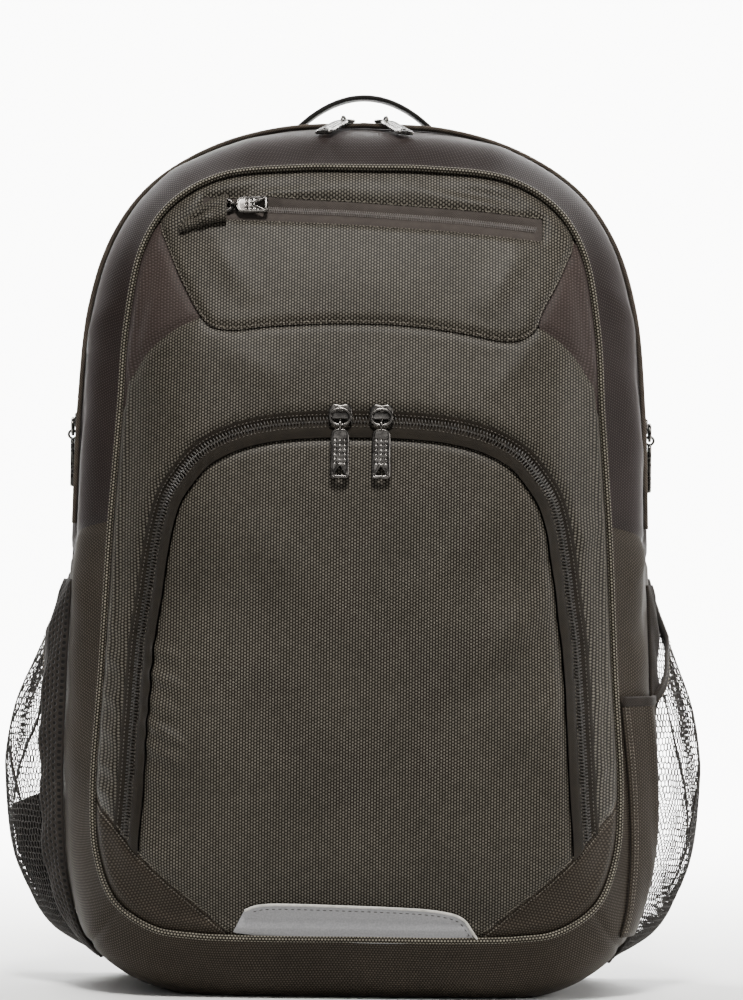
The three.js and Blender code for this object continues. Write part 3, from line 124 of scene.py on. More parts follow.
# up, out
BULGE_ROWS = [
    (0, 0), (0.03, 0.27), (0.06, 0.46), (0.105, 0.6), (0.16, 0.7), (0.21, 0.81), (0.26, 0.91),
    (0.34, 0.97), (0.45, 1), (0.52, 1), (0.66, 0.83), (0.785, 0.48), (0.885, 0.2), (1, 0.03),
]
# across, stand, down, wide, bow
STRAP_ROWS = [
    (0.38, 0.06, 0, 1, 0), (0.42, 0.4, 0.03, 1, 0), (0.55, 0.78, 0.13, 1, 0.3),
    (0.75, 0.98, 0.25, 1, 1), (0.88, 1, 0.38, 0.97, 1), (0.95, 0.9, 0.55, 0.9, 0.6),
    (0.98, 0.68, 0.75, 0.8, 0.2), (1, 0.46, 0.9, 0.62, 0), (1, 0.42, 1, 0.45, 0),
]

RING = 260
FACE_PITCH = 1.7


# Curves and surfaces


def column_at(rows, place, column=1, along=0):
    """Smooth value of a column at places along another one, from rows in rising order."""
    r = np.array(rows, float)
    a, b = r[:, along], r[:, column]
    place = np.asarray(place, float)
    k = np.clip(np.searchsorted(a, place), 1, len(r) - 1)
    before, after = np.maximum(k - 2, 0), np.minimum(k + 1, len(r) - 1)
    span = a[k] - a[k - 1]
    t = np.clip((place - a[k - 1]) / span, 0, 1)
    slope_a = (b[k] - b[before]) / (a[k] - a[before])
    slope_b = (b[after] - b[k - 1]) / (a[after] - a[k - 1])
    return (
        (2 * t**3 - 3 * t**2 + 1) * b[k - 1]
        + (t**3 - 2 * t**2 + t) * span * slope_a
        + (3 * t**2 - 2 * t**3) * b[k]
        + (t**3 - t**2) * span * slope_b
    )


def curve(points, steps):
    """Centripetal Catmull-Rom curve through points, whose last axis is the coordinate."""
    p = np.asarray(points, float)
    p = np.concatenate([[2 * p[0] - p[1]], p, [2 * p[-1] - p[-2]]])
    made = []
    count = len(p) - 3
    for i in range(steps + 1):
        place = count * i / steps
        k = min(int(place), count - 1)
        t = place - k
        p0, p1, p2, p3 = p[k], p[k + 1], p[k + 2], p[k + 3]
        root = lambda a, b: np.maximum(np.sum((a - b) ** 2, -1, keepdims=True), 1e-12) ** 0.25
        d0, d1, d2 = root(p0, p1), root(p1, p2), root(p2, p3)
        d1 = np.where(d1 < 1e-4, 1.0, d1)
        d0, d2 = np.where(d0 < 1e-4, d1, d0), np.where(d2 < 1e-4, d1, d2)
        m1 = ((p1 - p0) / d0 - (p2 - p0) / (d0 + d1) + (p2 - p1) / d1) * d1
        m2 = ((p2 - p1) / d1 - (p3 - p1) / (d1 + d2) + (p3 - p2) / d2) * d1
        made.append(
            p1 + m1 * t + (-3 * p1 + 3 * p2 - 2 * m1 - m2) * t**2
            + (2 * p1 - 2 * p2 + m1 + m2) * t**3
        )
    return np.array(made)


def ring_from(rows, depth_of):
    half = curve([(r[1] * HALF_WIDTH, depth_of(r), r[0] * BODY_HEIGHT) for r in rows], RING)
    half[:, 2] = np.maximum(0, half[:, 2])
    other = half[1:-1][::-1] * np.array([-1, 1, 1])
    return np.vstack([half, other])


def inset(ring, distance):
    along = np.roll(ring, -1, 0) - np.roll(ring, 1, 0)
    along = along[:, [0, 2]] / np.linalg.norm(along[:, [0, 2]], axis=1)[:, None]
    moved = ring.copy()
    moved[:, 0] -= along[:, 1] * distance
    moved[:, 2] += along[:, 0] * distance
    return moved


def at_depth(ring, y):
    moved = ring.copy()
    moved[:, 1] = y
    return moved


def least(*values):
    return np.minimum.reduce(values)


def smooth(x, low, high):
    t = np.clip((x - low) / (high - low), 0, 1)
    return t * t * (3 - 2 * t)


WELT = ring_from(WELT_ROWS, lambda r: -r[2] * FRONT_REACH)
BEND = ring_from(GUSSET_ROWS, lambda r: -r[2] * FRONT_REACH)
BODY = ring_from(BODY_ROWS, lambda r: 0.0)


def body_ring(y, distance):
    """Body outline at a depth, drawn in above the flat base."""
    return at_depth(inset(BODY, distance * smooth(BODY[:, 2], 0, 60)), y)


def wavy(x, y, z, size, seed):
    """Slow uneven waves, from about -1 to 1, the same on every run."""
    rng = np.random.default_rng(seed)
    total = np.zeros(np.broadcast(x, y, z).shape)
    for _ in range(6):
        k = rng.normal(size=3) / size * 1.6
        total = total + np.sin(k[0] * x + k[1] * y + k[2] * z + rng.uniform(0, 6.3))
    return total / 3.2


def ridges(points, rows):
    """Sum of soft ridges, each along a line in space: ends, height and width."""
    total = np.zeros(points.shape[:-1])
    for ax, ay, az, bx, by, bz, height, width in rows:
        a, d = np.array([ax, ay, az], float), np.array([bx - ax, by - ay, bz - az], float)
        t = np.clip(((points - a) @ d) / (d @ d), -0.15, 1.15)
        away = np.linalg.norm(points - a - t[..., None] * d, axis=-1)
        taper = np.sin(np.pi * np.clip((t + 0.15) / 1.3, 0, 1)) ** 0.7
        total += height * taper * np.exp(-((away / width) ** 2))
    return total


# Front face

_spin = np.arctan2(WELT[:, 0], -(WELT[:, 2] - FACE_CENTRE)) % (2 * np.pi)
_turn = np.argsort(_spin)
_radius = np.hypot(WELT[:, 0], WELT[:, 2] - FACE_CENTRE)[_turn]
_rise2 = (WELT[:, 2] - FACE_CENTRE) ** 2
_power = 4.5 + 7 * _rise2 / (_rise2 + WELT[:, 0] ** 2)


def face_place(x, z):
    """Share of the way from the middle to the welt, the welt's depth and the roundness there."""
    spin = np.arctan2(x, -(z - FACE_CENTRE)) % (2 * np.pi)
    read = lambda v: np.interp(spin, _spin[_turn], v, period=2 * np.pi)
    share = np.hypot(x, z - FACE_CENTRE) / read(_radius)
    return np.minimum(share, 1), read(WELT[:, 1][_turn]), read(_power[_turn])


def face_y(x, z, lift=0.0):
    x, z = np.asarray(x, float), np.asarray(z, float)
    share, welt, power = face_place(x, z)
    middle = -FRONT_REACH * column_at(PROFILE_ROWS, z / BODY_HEIGHT)
    return welt + (middle - welt) * (1 - share**power) - lift * (1 - share**20)


def distance_in(outline, x, z):
    """Distance to a closed outline, positive inside."""
    p = np.asarray(outline, float)
    q = np.roll(p, -1, 0)
    best = np.full(x.shape, 1e9)
    inside = np.zeros(x.shape, bool)
    for (ax, az), (bx, bz) in zip(p, q):
        dx, dz = bx - ax, bz - az
        length = dx * dx + dz * dz
        if length < 1e-12:
            continue
        t = np.clip(((x - ax) * dx + (z - az) * dz) / length, 0, 1)
        best = np.minimum(best, np.hypot(x - ax - t * dx, z - az - t * dz))
        crosses = (az > z) != (bz > z)
        with np.errstate(divide="ignore", invalid="ignore"):
            inside ^= crosses & (x < ax + (z - az) * dx / (dz if dz else 1e-12))
    return np.where(inside, best, -best)


def arch_outline():
    right = [(h * POCKET_WIDTH / 2, POCKET_LOW + u * (POCKET_TOP - POCKET_LOW)) for h, u in ARCH_ROWS]
    fine = curve(right + [(-right[-1][0], right[-1][1])], 8 * len(right))[: -4]
    return np.vstack([fine, (fine * [-1, 1])[::-1]])


def quick_outline():
    pts = [(a * QUICK_WIDTH / 2, FACE_TOP - d * QUICK_DROP) for a, d in QUICK_ROWS]
    return curve(pts, 6 * len(pts))


def yoke_outline(side):
    arc = curve([(side * a * QUICK_WIDTH / 2, FACE_TOP - d * QUICK_DROP) for a, d in YOKE_ROWS], 40)
    far = side * HALF_WIDTH * 1.4
    return np.vstack([arc, [[far, FACE_TOP + QUICK_DROP], [0, FACE_TOP + QUICK_DROP]]])


def corner_outline(side):
    welt = WELT[:, 0].max()
    pts = [(side * (welt - a * CORNER_WIDTH), POCKET_LOW + u * CORNER_HEIGHT) for a, u in CORNER_ROWS]
    seam = curve(pts[1:4], 24)
    return np.vstack([[pts[0]], seam, pts[4:]])


def quick_level(x):
    t = (x - QUICK_LEFT) / (QUICK_RIGHT - QUICK_LEFT)
    return FACE_TOP - QUICK_ZIP_DROP - QUICK_FALL * t * t


def quick_zip_outline(grow=0.0):
    x = np.linspace(QUICK_LEFT - grow, QUICK_RIGHT + grow, 60)
    z = quick_level(np.clip(x, QUICK_LEFT, QUICK_RIGHT))
    half = QUICK_HEIGHT / 2 + grow
    return np.vstack([np.column_stack([x, z - half]), np.column_stack([x, z + half])[::-1]])


def strip_outline():
    pts = [(a * STRIP_WIDTH / 2, POCKET_LOW - STRIP_SAG + u * STRIP_HEIGHT) for a, u in STRIP_ROWS]
    low = curve(pts[:5], 40)
    top = curve(pts[4:], 50)
    return np.vstack([low, top[1:]])


ARCH, QUICK_EDGE, QUICK_ZIP = arch_outline(), quick_outline(), quick_zip_outline()
YOKES = {side: yoke_outline(side) for side in (-1, 1)}
CORNERS = {side: corner_outline(side) for side in (-1, 1)}
STRIP = strip_outline()
WELT_LINE = WELT[:, [0, 2]]


# Mesh helpers


def grid_faces(rows, columns, closed=False):
    i, j = np.meshgrid(np.arange(rows - 1), np.arange(columns if closed else columns - 1), indexing="ij")
    k = (j + 1) % columns
    return np.stack([i * columns + j, i * columns + k, (i + 1) * columns + k, (i + 1) * columns + j], -1).reshape(-1, 4)


def clip(columns, faces, value):
    """Keeps the part of a mesh where the value is positive. columns holds a row of numbers for
    each point; new points on the edge get numbers in between."""
    columns, value = np.asarray(columns, float), np.asarray(value, float)
    good = value >= 0
    if isinstance(faces, np.ndarray):
        whole = good[faces].all(1)
        part = good[faces].any(1) & ~whole
        kept, mixed = [tuple(f) for f in faces[whole]], faces[part]
    else:
        kept = [f for f in faces if all(good[i] for i in f)]
        mixed = [f for f in faces if any(good[i] for i in f) and not all(good[i] for i in f)]
    added, where = [], {}

    def crossing(a, b):
        key = (min(a, b), max(a, b))
        if key not in where:
            t = value[a] / (value[a] - value[b])
            where[key] = len(columns) + len(added)
            added.append(columns[a] + (columns[b] - columns[a]) * t)
        return where[key]

    for face in mixed:
        loop = []
        for a, b in zip(face, np.roll(face, -1)):
            if good[a]:
                loop.append(int(a))
            if good[a] != good[b]:
                loop.append(crossing(int(a), int(b)))
        if len(loop) > 2:
            kept.append(tuple(loop))
    everything = np.vstack([columns, added]) if added else columns
    used = np.unique(np.concatenate([np.array(f) for f in kept]))
    new = np.full(len(everything), -1)
    new[used] = np.arange(len(used))
    return everything[used], [tuple(int(new[i]) for i in f) for f in kept]


def face_outwards(mesh):
    """Turns the faces of a closed mesh outwards. Open sheets stay as they are."""
    work = bmesh.new()
    work.from_mesh(mesh)
    if all(edge.is_manifold for edge in work.edges):
        bmesh.ops.recalc_face_normals(work, faces=work.faces)
        work.to_mesh(mesh)
    work.free()


def add_mesh(name, points, faces, material, uv=None, body=BAG, slot=None, replaces=()):
    mesh = bpy.data.meshes.new(name)
    mesh.from_pydata((np.asarray(points, float) * MM).tolist(), [], [tuple(map(int, f)) for f in faces])
    mesh.update()
    face_outwards(mesh)
    mesh.polygons.foreach_set("use_smooth", [True] * len(mesh.polygons))
    if uv is not None:
        layer = mesh.uv_layers.new(name="cloth")
        index = np.empty(len(mesh.loops), np.int32)
        mesh.loops.foreach_get("vertex_index", index)
        layer.data.foreach_set("uv", np.asarray(uv, np.float32)[index].ravel())
    obj = bpy.data.objects.new(name, mesh)
    bpy.context.scene.collection.objects.link(obj)
    obj.data.materials.append(material)
    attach(obj, body)
    if replaces:
        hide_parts(*replaces)
    return obj


class Batch:
    """Many small shapes gathered into one mesh."""

    def __init__(self):
        self.points, self.faces, self.uv, self.count = [], [], [], 0

    def add(self, points, faces, uv=None):
        self.faces.append(np.asarray(faces) + self.count)
        self.points.append(points)
        self.uv.append(np.zeros((len(points), 2)) if uv is None else uv)
        self.count += len(points)

    def build(self, name, material, **more):
        faces = [tuple(f) for block in self.faces for f in block]
        return add_mesh(name, np.vstack(self.points), faces, material, uv=np.vstack(self.uv), **more)


def frames_along(path, normal):
    """Unit directions along a path, sideways and outwards, given rough outward directions."""
    ahead = np.gradient(path, axis=0)
    ahead /= np.linalg.norm(ahead, axis=1)[:, None]
    out = np.asarray(normal, float) - ahead * np.sum(normal * ahead, 1)[:, None]
    out /= np.linalg.norm(out, axis=1)[:, None]
    return ahead, np.cross(ahead, out), out


def lengths(path):
    step = np.linalg.norm(np.diff(path, axis=0), axis=1)
    return np.concatenate([[0], np.cumsum(step)])


def resample(path, spacing, *others):
    run = lengths(path)
    count = max(2, int(round(run[-1] / spacing)) + 1)
    places = np.linspace(0, run[-1], count)
    pick = lambda a: np.column_stack([np.interp(places, run, a[:, i]) for i in range(a.shape[1])])
    return [pick(np.asarray(a, float)) for a in (path, *others)]


def sweep(path, normal, section, scale=None):
    """Points and quads of a section, (across, out) pairs, carried along a path, with end caps."""
    _, side, out = frames_along(path, normal)
    sec = np.asarray(section, float)
    scale = np.ones((len(path), 2)) if scale is None else scale
    pts = (
        path[:, None, :]
        + side[:, None, :] * (sec[None, :, 0] * scale[:, [0]])[..., None]
        + out[:, None, :] * (sec[None, :, 1] * scale[:, [1]])[..., None]
    )
    n = len(sec)
    faces = [tuple(f) for f in grid_faces(len(path), n, closed=True)]
    faces.append(tuple(range(n - 1, -1, -1)))
    faces.append(tuple(range((len(path) - 1) * n, len(path) * n)))
    around = np.concatenate([[0], np.cumsum(np.hypot(*np.diff(sec, axis=0).T))])
    uv = np.stack(np.broadcast_arrays(around[None, :], lengths(path)[:, None]), -1).reshape(-1, 2)
    return pts.reshape(-1, 3), faces, uv


def circle(radius, sides, flat=1.0):
    turn = 2 * np.pi * np.arange(sides) / sides
    return np.column_stack([radius * np.cos(turn), radius * flat * np.sin(turn)])


def rounded_bar(width, thick, corner, steps=3):
    made = []
    for cx, cz, start in ((1, 1, 0), (-1, 1, 90), (-1, -1, 180), (1, -1, 270)):
        for k in range(steps + 1):
            turn = math.radians(start + 90 * k / steps)
            made.append((cx * (width / 2 - corner) + corner * math.cos(turn),
                         cz * (thick / 2 - corner) + corner * math.sin(turn)))
    return made


def swept(name, path, normal, section, material, scale=None, **more):
    """A piece with one section all along a path."""
    pts, faces, uv = sweep(path, normal, section, scale)
    return add_mesh(name, pts, faces, material, uv=uv, **more)


def tube(name, path, normal, radius, material, sides=8, **more):
    return swept(name, path, normal, circle(radius, sides), material, **more)


def give_wall(obj, thick, offset):
    wall = obj.modifiers.new("wall", "SOLIDIFY")
    wall.thickness, wall.offset = thick * MM, offset


def closed(path):
    return np.vstack([path, path[:1]])


# Materials


class Shader:
    """A material built from nodes around one Principled shader."""

    def __init__(self, name, **values):
        self.material = bpy.data.materials.new(name)
        self.material.use_nodes = True
        self.tree = self.material.node_tree
        self.tree.nodes.clear()
        self.surface = self.add("BsdfPrincipled")
        self.tree.links.new(self.surface.outputs[0], self.add("OutputMaterial").inputs[0])
        for key, value in values.items():
            self.feed(self.surface.inputs[key.replace("_", " ").title().replace("Ior", "IOR")], value)

    def add(self, kind, **settings):
        node = self.tree.nodes.new("ShaderNode" + kind)
        for key, value in settings.items():
            setattr(node, key, value)
        return node

    def feed(self, socket, value):
        if isinstance(value, bpy.types.NodeSocket):
            self.tree.links.new(value, socket)
        elif isinstance(value, tuple) and socket.type == "RGBA":
            socket.default_value = (*value, 1)
        else:
            socket.default_value = value

    def math(self, kind, a, b=0.0):
        node = self.add("Math", operation=kind)
        self.feed(node.inputs[0], a)
        self.feed(node.inputs[1], b)
        return node.outputs[0]

    def mix(self, share, a, b):
        node = self.add("Mix", data_type="RGBA")
        for index, value in ((0, share), (6, a), (7, b)):
            self.feed(node.inputs[index], value)
        return node.outputs[2]

    def step(self, value, low, high, to_low=0.0, to_high=1.0):
        node = self.add("MapRange", interpolation_type="SMOOTHSTEP")
        for index, given in enumerate((value, low, high, to_low, to_high)):
            self.feed(node.inputs[index], given)
        return node.outputs[0]

    def map(self):
        """The cloth's own map: millimetres across and along."""
        split = self.add("SeparateXYZ")
        self.tree.links.new(self.add("UVMap", uv_map="cloth").outputs[0], split.inputs[0])
        return split.outputs[0], split.outputs[1]

    def noise(self, size, detail=2.0, stretch=(1, 1, 1)):
        """Noise in space, from 0 to 1, with features about size metres across."""
        scale = self.add("Mapping")
        scale.inputs["Scale"].default_value = stretch
        self.tree.links.new(self.add("TexCoord").outputs["Object"], scale.inputs[0])
        node = self.add("TexNoise")
        self.tree.links.new(scale.outputs[0], node.inputs["Vector"])
        node.inputs["Scale"].default_value = 1 / size
        node.inputs["Detail"].default_value = detail
        return node.outputs[0]

    def bump(self, height, distance, strength=1.0):
        node = self.add("Bump")
        node.inputs["Distance"].default_value = distance
        node.inputs["Strength"].default_value = strength
        self.tree.links.new(height, node.inputs["Height"])
        self.tree.links.new(node.outputs[0], self.surface.inputs["Normal"])

    def colour(self, value):
        self.feed(self.surface.inputs["Base Color"], value)

    def dots(self, pitch_u, pitch_v, wide, tall, soft=0.45):
        """Yarn floats in staggered columns."""
        u, v = self.map()
        column = self.math("DIVIDE", u, pitch_u)
        half = self.math("MULTIPLY", self.math("FLOOR", column), 0.5)
        row = self.math("ADD", self.math("DIVIDE", v, pitch_v), half)
        x = self.math("MULTIPLY", self.math("SUBTRACT", self.math("FRACT", column), 0.5), 2 * pitch_u / wide)
        y = self.math("MULTIPLY", self.math("SUBTRACT", self.math("FRACT", row), 0.5), 2 * pitch_v / tall)
        away = self.math("SQRT", self.math("ADD", self.math("MULTIPLY", x, x), self.math("MULTIPLY", y, y)))
        return self.step(away, 1 + soft, 1 - soft)

    def ribs(self, pitch, along=1):
        wave = self.math("SINE", self.math("MULTIPLY", self.map()[along], 2 * math.pi / pitch))
        return self.math("ADD", self.math("MULTIPLY", wave, 0.5), 0.5)


def dotted_cloth(name, ground, dot, pitch=(1.52, 1.73), size=(0.98, 1.12), roughness=0.62, sheen=0.025,
                 tint=(0.9, 0.85, 0.8), relief=0.00007, ribs=0.0, gloss=0.08):
    s = Shader(name, roughness=roughness, sheen_weight=sheen, sheen_roughness=0.4, sheen_tint=tint,
               specular_ior_level=gloss)
    spots = s.dots(*pitch, *size)
    uneven = s.step(s.noise(0.0035), 0.3, 0.7, 0.72, 1.0)
    cloudy = s.step(s.noise(0.05), 0.3, 0.7, 0.9, 1.08)
    base = s.mix(s.math("MULTIPLY", spots, uneven), ground, dot)
    height = spots
    if ribs:
        rib = s.ribs(pitch[1] / 2)
        base = s.mix(s.math("MULTIPLY", rib, ribs), base, dot)
        height = s.math("ADD", spots, s.math("MULTIPLY", rib, 0.5))
    shade = s.add("Mix", data_type="RGBA", blend_type="MULTIPLY")
    shade.inputs[0].default_value = 1.0
    s.feed(shade.inputs[6], base)
    merge = s.add("CombineColor")
    for index in range(3):
        s.feed(merge.inputs[index], cloudy)
    s.feed(shade.inputs[7], merge.outputs[0])
    s.colour(shade.outputs[2])
    s.bump(height, relief, 0.8)
    return s.material


def ribbed_cloth(name, dark, light, pitch=1.15, roughness=0.5, sheen=0.05, dots=0.35, relief=0.00012):
    """Plain nylon: fine cross ribs with faint flecks."""
    s = Shader(name, roughness=roughness, sheen_weight=sheen, sheen_roughness=0.35,
               sheen_tint=(0.85, 0.75, 0.74), specular_ior_level=0.2)
    rib = s.ribs(pitch)
    fleck = s.dots(pitch * 1.3, pitch * 1.6, pitch * 0.7, pitch * 0.6)
    share = s.math("ADD", s.math("MULTIPLY", rib, 0.45), s.math("MULTIPLY", fleck, dots))
    cloudy = s.step(s.noise(0.03), 0.25, 0.75, 0.0, 0.3)
    s.colour(s.mix(s.math("ADD", share, cloudy), dark, light))
    s.bump(s.math("ADD", rib, fleck), relief, 0.7)
    return s.material


def tape_cloth(name, dark, light, pitch=0.9, roughness=0.75):
    """Zip tape and webbing: slanting twill ribs."""
    s = Shader(name, roughness=roughness, sheen_weight=0.04, sheen_roughness=0.5, specular_ior_level=0.15)
    u, v = s.map()
    slant = s.math("PINGPONG", u, 3.0)
    wave = s.math("SINE", s.math("MULTIPLY", s.math("ADD", v, slant), 2 * math.pi / pitch))
    rib = s.math("ADD", s.math("MULTIPLY", wave, 0.5), 0.5)
    worn = s.step(s.noise(0.006), 0.3, 0.8, 0.0, 0.35)
    s.colour(s.mix(s.math("ADD", s.math("MULTIPLY", rib, 0.55), worn), dark, light))
    s.bump(rib, 0.0002, 0.8)
    return s.material


def hard(name, low, high, roughness, metallic=0.0, size=0.004, coat=0.0):
    s = Shader(name, metallic=metallic, coat_weight=coat)
    spread = s.step(s.noise(size, 4), 0.3, 0.7)
    s.colour(s.mix(spread, low, high))
    s.feed(s.surface.inputs["Roughness"], s.step(s.noise(size / 2, 4), 0.2, 0.8, roughness, roughness + 0.14))
    if not metallic:
        s.bump(s.noise(size / 6, 2), 0.000008, 0.4)
    return s.material


def mesh_cloth(name, dark, light, pitch=2.6):
    """Spacer mesh: rows of small oval holes."""
    s = Shader(name, roughness=0.8, sheen_weight=0.08, sheen_roughness=0.5, specular_ior_level=0.15)
    holes = s.dots(pitch, pitch * 1.35, pitch * 0.62, pitch * 0.8, 0.3)
    s.colour(s.mix(holes, s.mix(s.noise(0.01), light, dark), (0.004, 0.0035, 0.003)))
    s.bump(s.math("SUBTRACT", 1.0, holes), 0.0006, 0.9)
    return s.material


def bead(name):
    """Bead of grey glass on white piping, under clear film."""
    s = Shader(name, roughness=0.34, coat_weight=0.25, coat_roughness=0.3)
    grain = s.step(s.noise(0.0009, 3), 0.35, 0.65)
    s.colour(s.mix(grain, (0.215, 0.215, 0.225), (0.27, 0.268, 0.275)))
    s.bump(grain, 0.00003, 0.6)
    return s.material


FRONT = dotted_cloth("weave_front", (0.0080, 0.0064, 0.0044), (0.122, 0.110, 0.090), roughness=0.5, gloss=0.1)
SIDE = dotted_cloth("weave_side", (0.0078, 0.0060, 0.0044), (0.066, 0.054, 0.041), size=(0.9, 0.9), ribs=0.3)
# The welt's roll is the same dotted weave as the front, its dots painted nearly twice as light: a painted highlight
# where the roll catches the light.
WELT_WEAVE_HIGHLIT = dotted_cloth("welt_weave_painted_highlight", (0.0085, 0.0068, 0.0045), (0.22, 0.20, 0.16), pitch=(1.7, 1.75),
                      size=(1.05, 1.0))
PLAIN = dotted_cloth("plain_nylon", (0.0078, 0.0052, 0.0046), (0.038, 0.0285, 0.0255), size=(0.8, 0.75), ribs=0.3,
                     sheen=0.035, tint=(0.85, 0.74, 0.74), roughness=0.55, relief=0.00012)
# The yokes' cloth is the same plain nylon as plain_nylon, painted about twice as bright: painted light on the yokes.
YOKE_PAINTED_LIGHT = dotted_cloth("yoke_nylon_painted_light", (0.0190, 0.0138, 0.0122), (0.072, 0.055, 0.049), size=(0.8, 0.75), ribs=0.35,
                    sheen=0.035, tint=(0.85, 0.74, 0.74), roughness=0.55, relief=0.00012)
LINING = ribbed_cloth("lining_cloth", (0.010, 0.009, 0.008), (0.025, 0.023, 0.021), sheen=0.05)
TAPE = tape_cloth("zip_tape", (0.0058, 0.0042, 0.0024), (0.016, 0.0118, 0.0070))
BINDING = tape_cloth("binding_tape", (0.0075, 0.0055, 0.0040), (0.024, 0.018, 0.0135), pitch=1.2)
WEB = tape_cloth("strap_web", (0.005, 0.0042, 0.0038), (0.020, 0.017, 0.015), pitch=1.8)
COIL = hard("zip_coil", (0.010, 0.0078, 0.0054), (0.027, 0.0215, 0.0155), 0.4, size=0.002)
QUICK_TAPE = tape_cloth("quick_zip_cloth", (0.030, 0.0245, 0.0212), (0.056, 0.046, 0.040))
QUICK_COIL = hard("quick_zip_coil", (0.040, 0.033, 0.029), (0.066, 0.055, 0.048), 0.5, size=0.002)
EDGE_TAPE = tape_cloth("edge_tape", (0.020, 0.0150, 0.0112), (0.085, 0.068, 0.053), pitch=1.5)
METAL = hard("gunmetal", (0.068, 0.063, 0.059), (0.15, 0.141, 0.132), 0.2, metallic=1.0)
PLASTIC = hard("moulded_nylon", (0.016, 0.015, 0.014), (0.028, 0.026, 0.025), 0.42)
THREAD = hard("thread", (0.065, 0.055, 0.042), (0.17, 0.15, 0.12), 0.7, size=0.002)
DARK_THREAD = hard("dark_thread", (0.010, 0.008, 0.006), (0.032, 0.026, 0.020), 0.7, size=0.002)
FAINT_THREAD = hard("faint_thread", (0.030, 0.025, 0.019), (0.085, 0.073, 0.058), 0.7, size=0.002)
NET = hard("net_cord", (0.008, 0.0062, 0.005), (0.022, 0.017, 0.013), 0.6, size=0.002)
PAD_MESH = mesh_cloth("spacer_mesh", (0.009, 0.0072, 0.006), (0.026, 0.021, 0.017))
REFLECT = bead("reflective_film")
EDGE_WHITE = hard("pale_piping", (0.38, 0.37, 0.34), (0.52, 0.50, 0.46), 0.5, size=0.003)


# Front face

# Folds on the front: x and z of both ends, height and width
WELT_ROLL, FOLD_DEPTH = 1.3, 1.5
FACE_FOLDS = [
    (-141, 190, -128, 177, 1.5, 3.6), (-142, 168, -128, 157, 1.7, 3.6),
    (-142, 150, -129, 139, 1.1, 3.6), (-142, 131, -130, 120, 1.3, 3.4),
    (-143, 118, -131, 106, 1.6, 3.4), (-142, 205, -129, 196, 0.9, 4.0),
    (-141, 98, -131, 90, 0.9, 4.0), (-114, 190, -96, 181, 0.9, 3.6),
    (-114, 176, -95, 167, 1.5, 3.4), (-114, 162, -96, 151, 1.0, 3.8),
    (-114, 150, -93, 137, 1.7, 3.4), (-114, 138, -92, 126, 1.4, 3.4),
    (-113, 122, -96, 112, 0.8, 4.0), (-92, 414, -50, 433, 1.9, 4.0), (-62, 431, -8, 438, 1.9, 4.0),
    (-20, 438, 40, 436, 1.6, 4.2), (28, 436, 84, 425, 1.8, 4.2), (-88, 428, -40, 440, -1.2, 4.5),
    (-48, 440, 44, 442, -1.2, 4.5), (36, 441, 92, 428, -1.2, 4.5), (60, 175, 108, 226, 1.1, 9),
    (40, 150, 110, 205, -0.9, 9), (70, 120, 112, 172, 0.9, 8), (20, 210, 70, 262, 0.8, 10),
    (-60, 250, -20, 215, 0.7, 11), (85, 232, 108, 262, 0.8, 7), (118, 246, 134, 262, 1.0, 6),
    (118, 150, 136, 172, 0.9, 6), (122, 118, 138, 130, 0.8, 5), (-70, 346, -40, 330, 0.7, 8),
    (92, 350, 70, 326, 0.8, 7), (-112, 335, -96, 312, 0.8, 8), (-104, 392, -118, 348, 1.0, 6),
    (104, 396, 118, 352, 1.0, 6), (-82, 408, -60, 378, 0.9, 7), (84, 402, 66, 372, 1.0, 7),
    (-128, 352, -134, 318, 0.8, 5), (-118, 88, -92, 66, 0.8, 6), (112, 80, 92, 60, 0.9, 6),
]


def face_slope(x, z, step=1.5):
    return (
        (face_y(x + step, z) - face_y(x - step, z)) / (2 * step),
        (face_y(x, z + step) - face_y(x, z - step)) / (2 * step),
    )


def on_face(x, z, lift=0.0, rise=0.0, folds=True):
    """Points on the dressed front face and their outward directions."""
    x, z = np.asarray(x, float), np.asarray(z, float)
    points = np.stack([x, face_y(x, z, lift), z], -1)
    across, up = face_slope(x, z)
    share = face_place(x, z)[0]
    out = np.stack([across, -np.ones_like(x), up], -1)
    out /= np.linalg.norm(out, axis=-1)[..., None]
    height = np.zeros_like(x) + rise
    if folds:
        calm = 1 - share**14
        height += WELT_ROLL * np.exp(-(((share - 0.966) / 0.014) ** 2))
        calm *= 0.15 + 0.85 * smooth(np.abs(distance_in(ARCH, x.ravel(), z.ravel())).reshape(x.shape), 6, 10)
        lines = [(ax, 0, az, bx, 0, bz, *size) for ax, az, bx, bz, *size in FACE_FOLDS]
        height += calm * (FOLD_DEPTH * ridges(points * [1, 0, 1], lines) + 0.5 * wavy(x, points[..., 1], z, 28, 3))
    return points + out * height[..., None], out


_xs = np.arange(-147, 147.01, FACE_PITCH)
_zs = np.arange(28, 453, FACE_PITCH)
_gx, _gz = (a.ravel() for a in np.meshgrid(_xs, _zs))
FACE_GRID = grid_faces(len(_zs), len(_xs))
FACE_AWAY = {
    "welt": distance_in(WELT_LINE, _gx, _gz),
    "arch": distance_in(ARCH, _gx, _gz),
    "quick": distance_in(QUICK_EDGE, _gx, _gz),
    "quick_zip": distance_in(QUICK_ZIP, _gx, _gz),
    "yoke_left": distance_in(YOKES[-1], _gx, _gz),
    "yoke_right": distance_in(YOKES[1], _gx, _gz),
    "corner_left": distance_in(CORNERS[-1], _gx, _gz),
    "corner_right": distance_in(CORNERS[1], _gx, _gz),
    "strip": distance_in(STRIP, _gx, _gz),
}


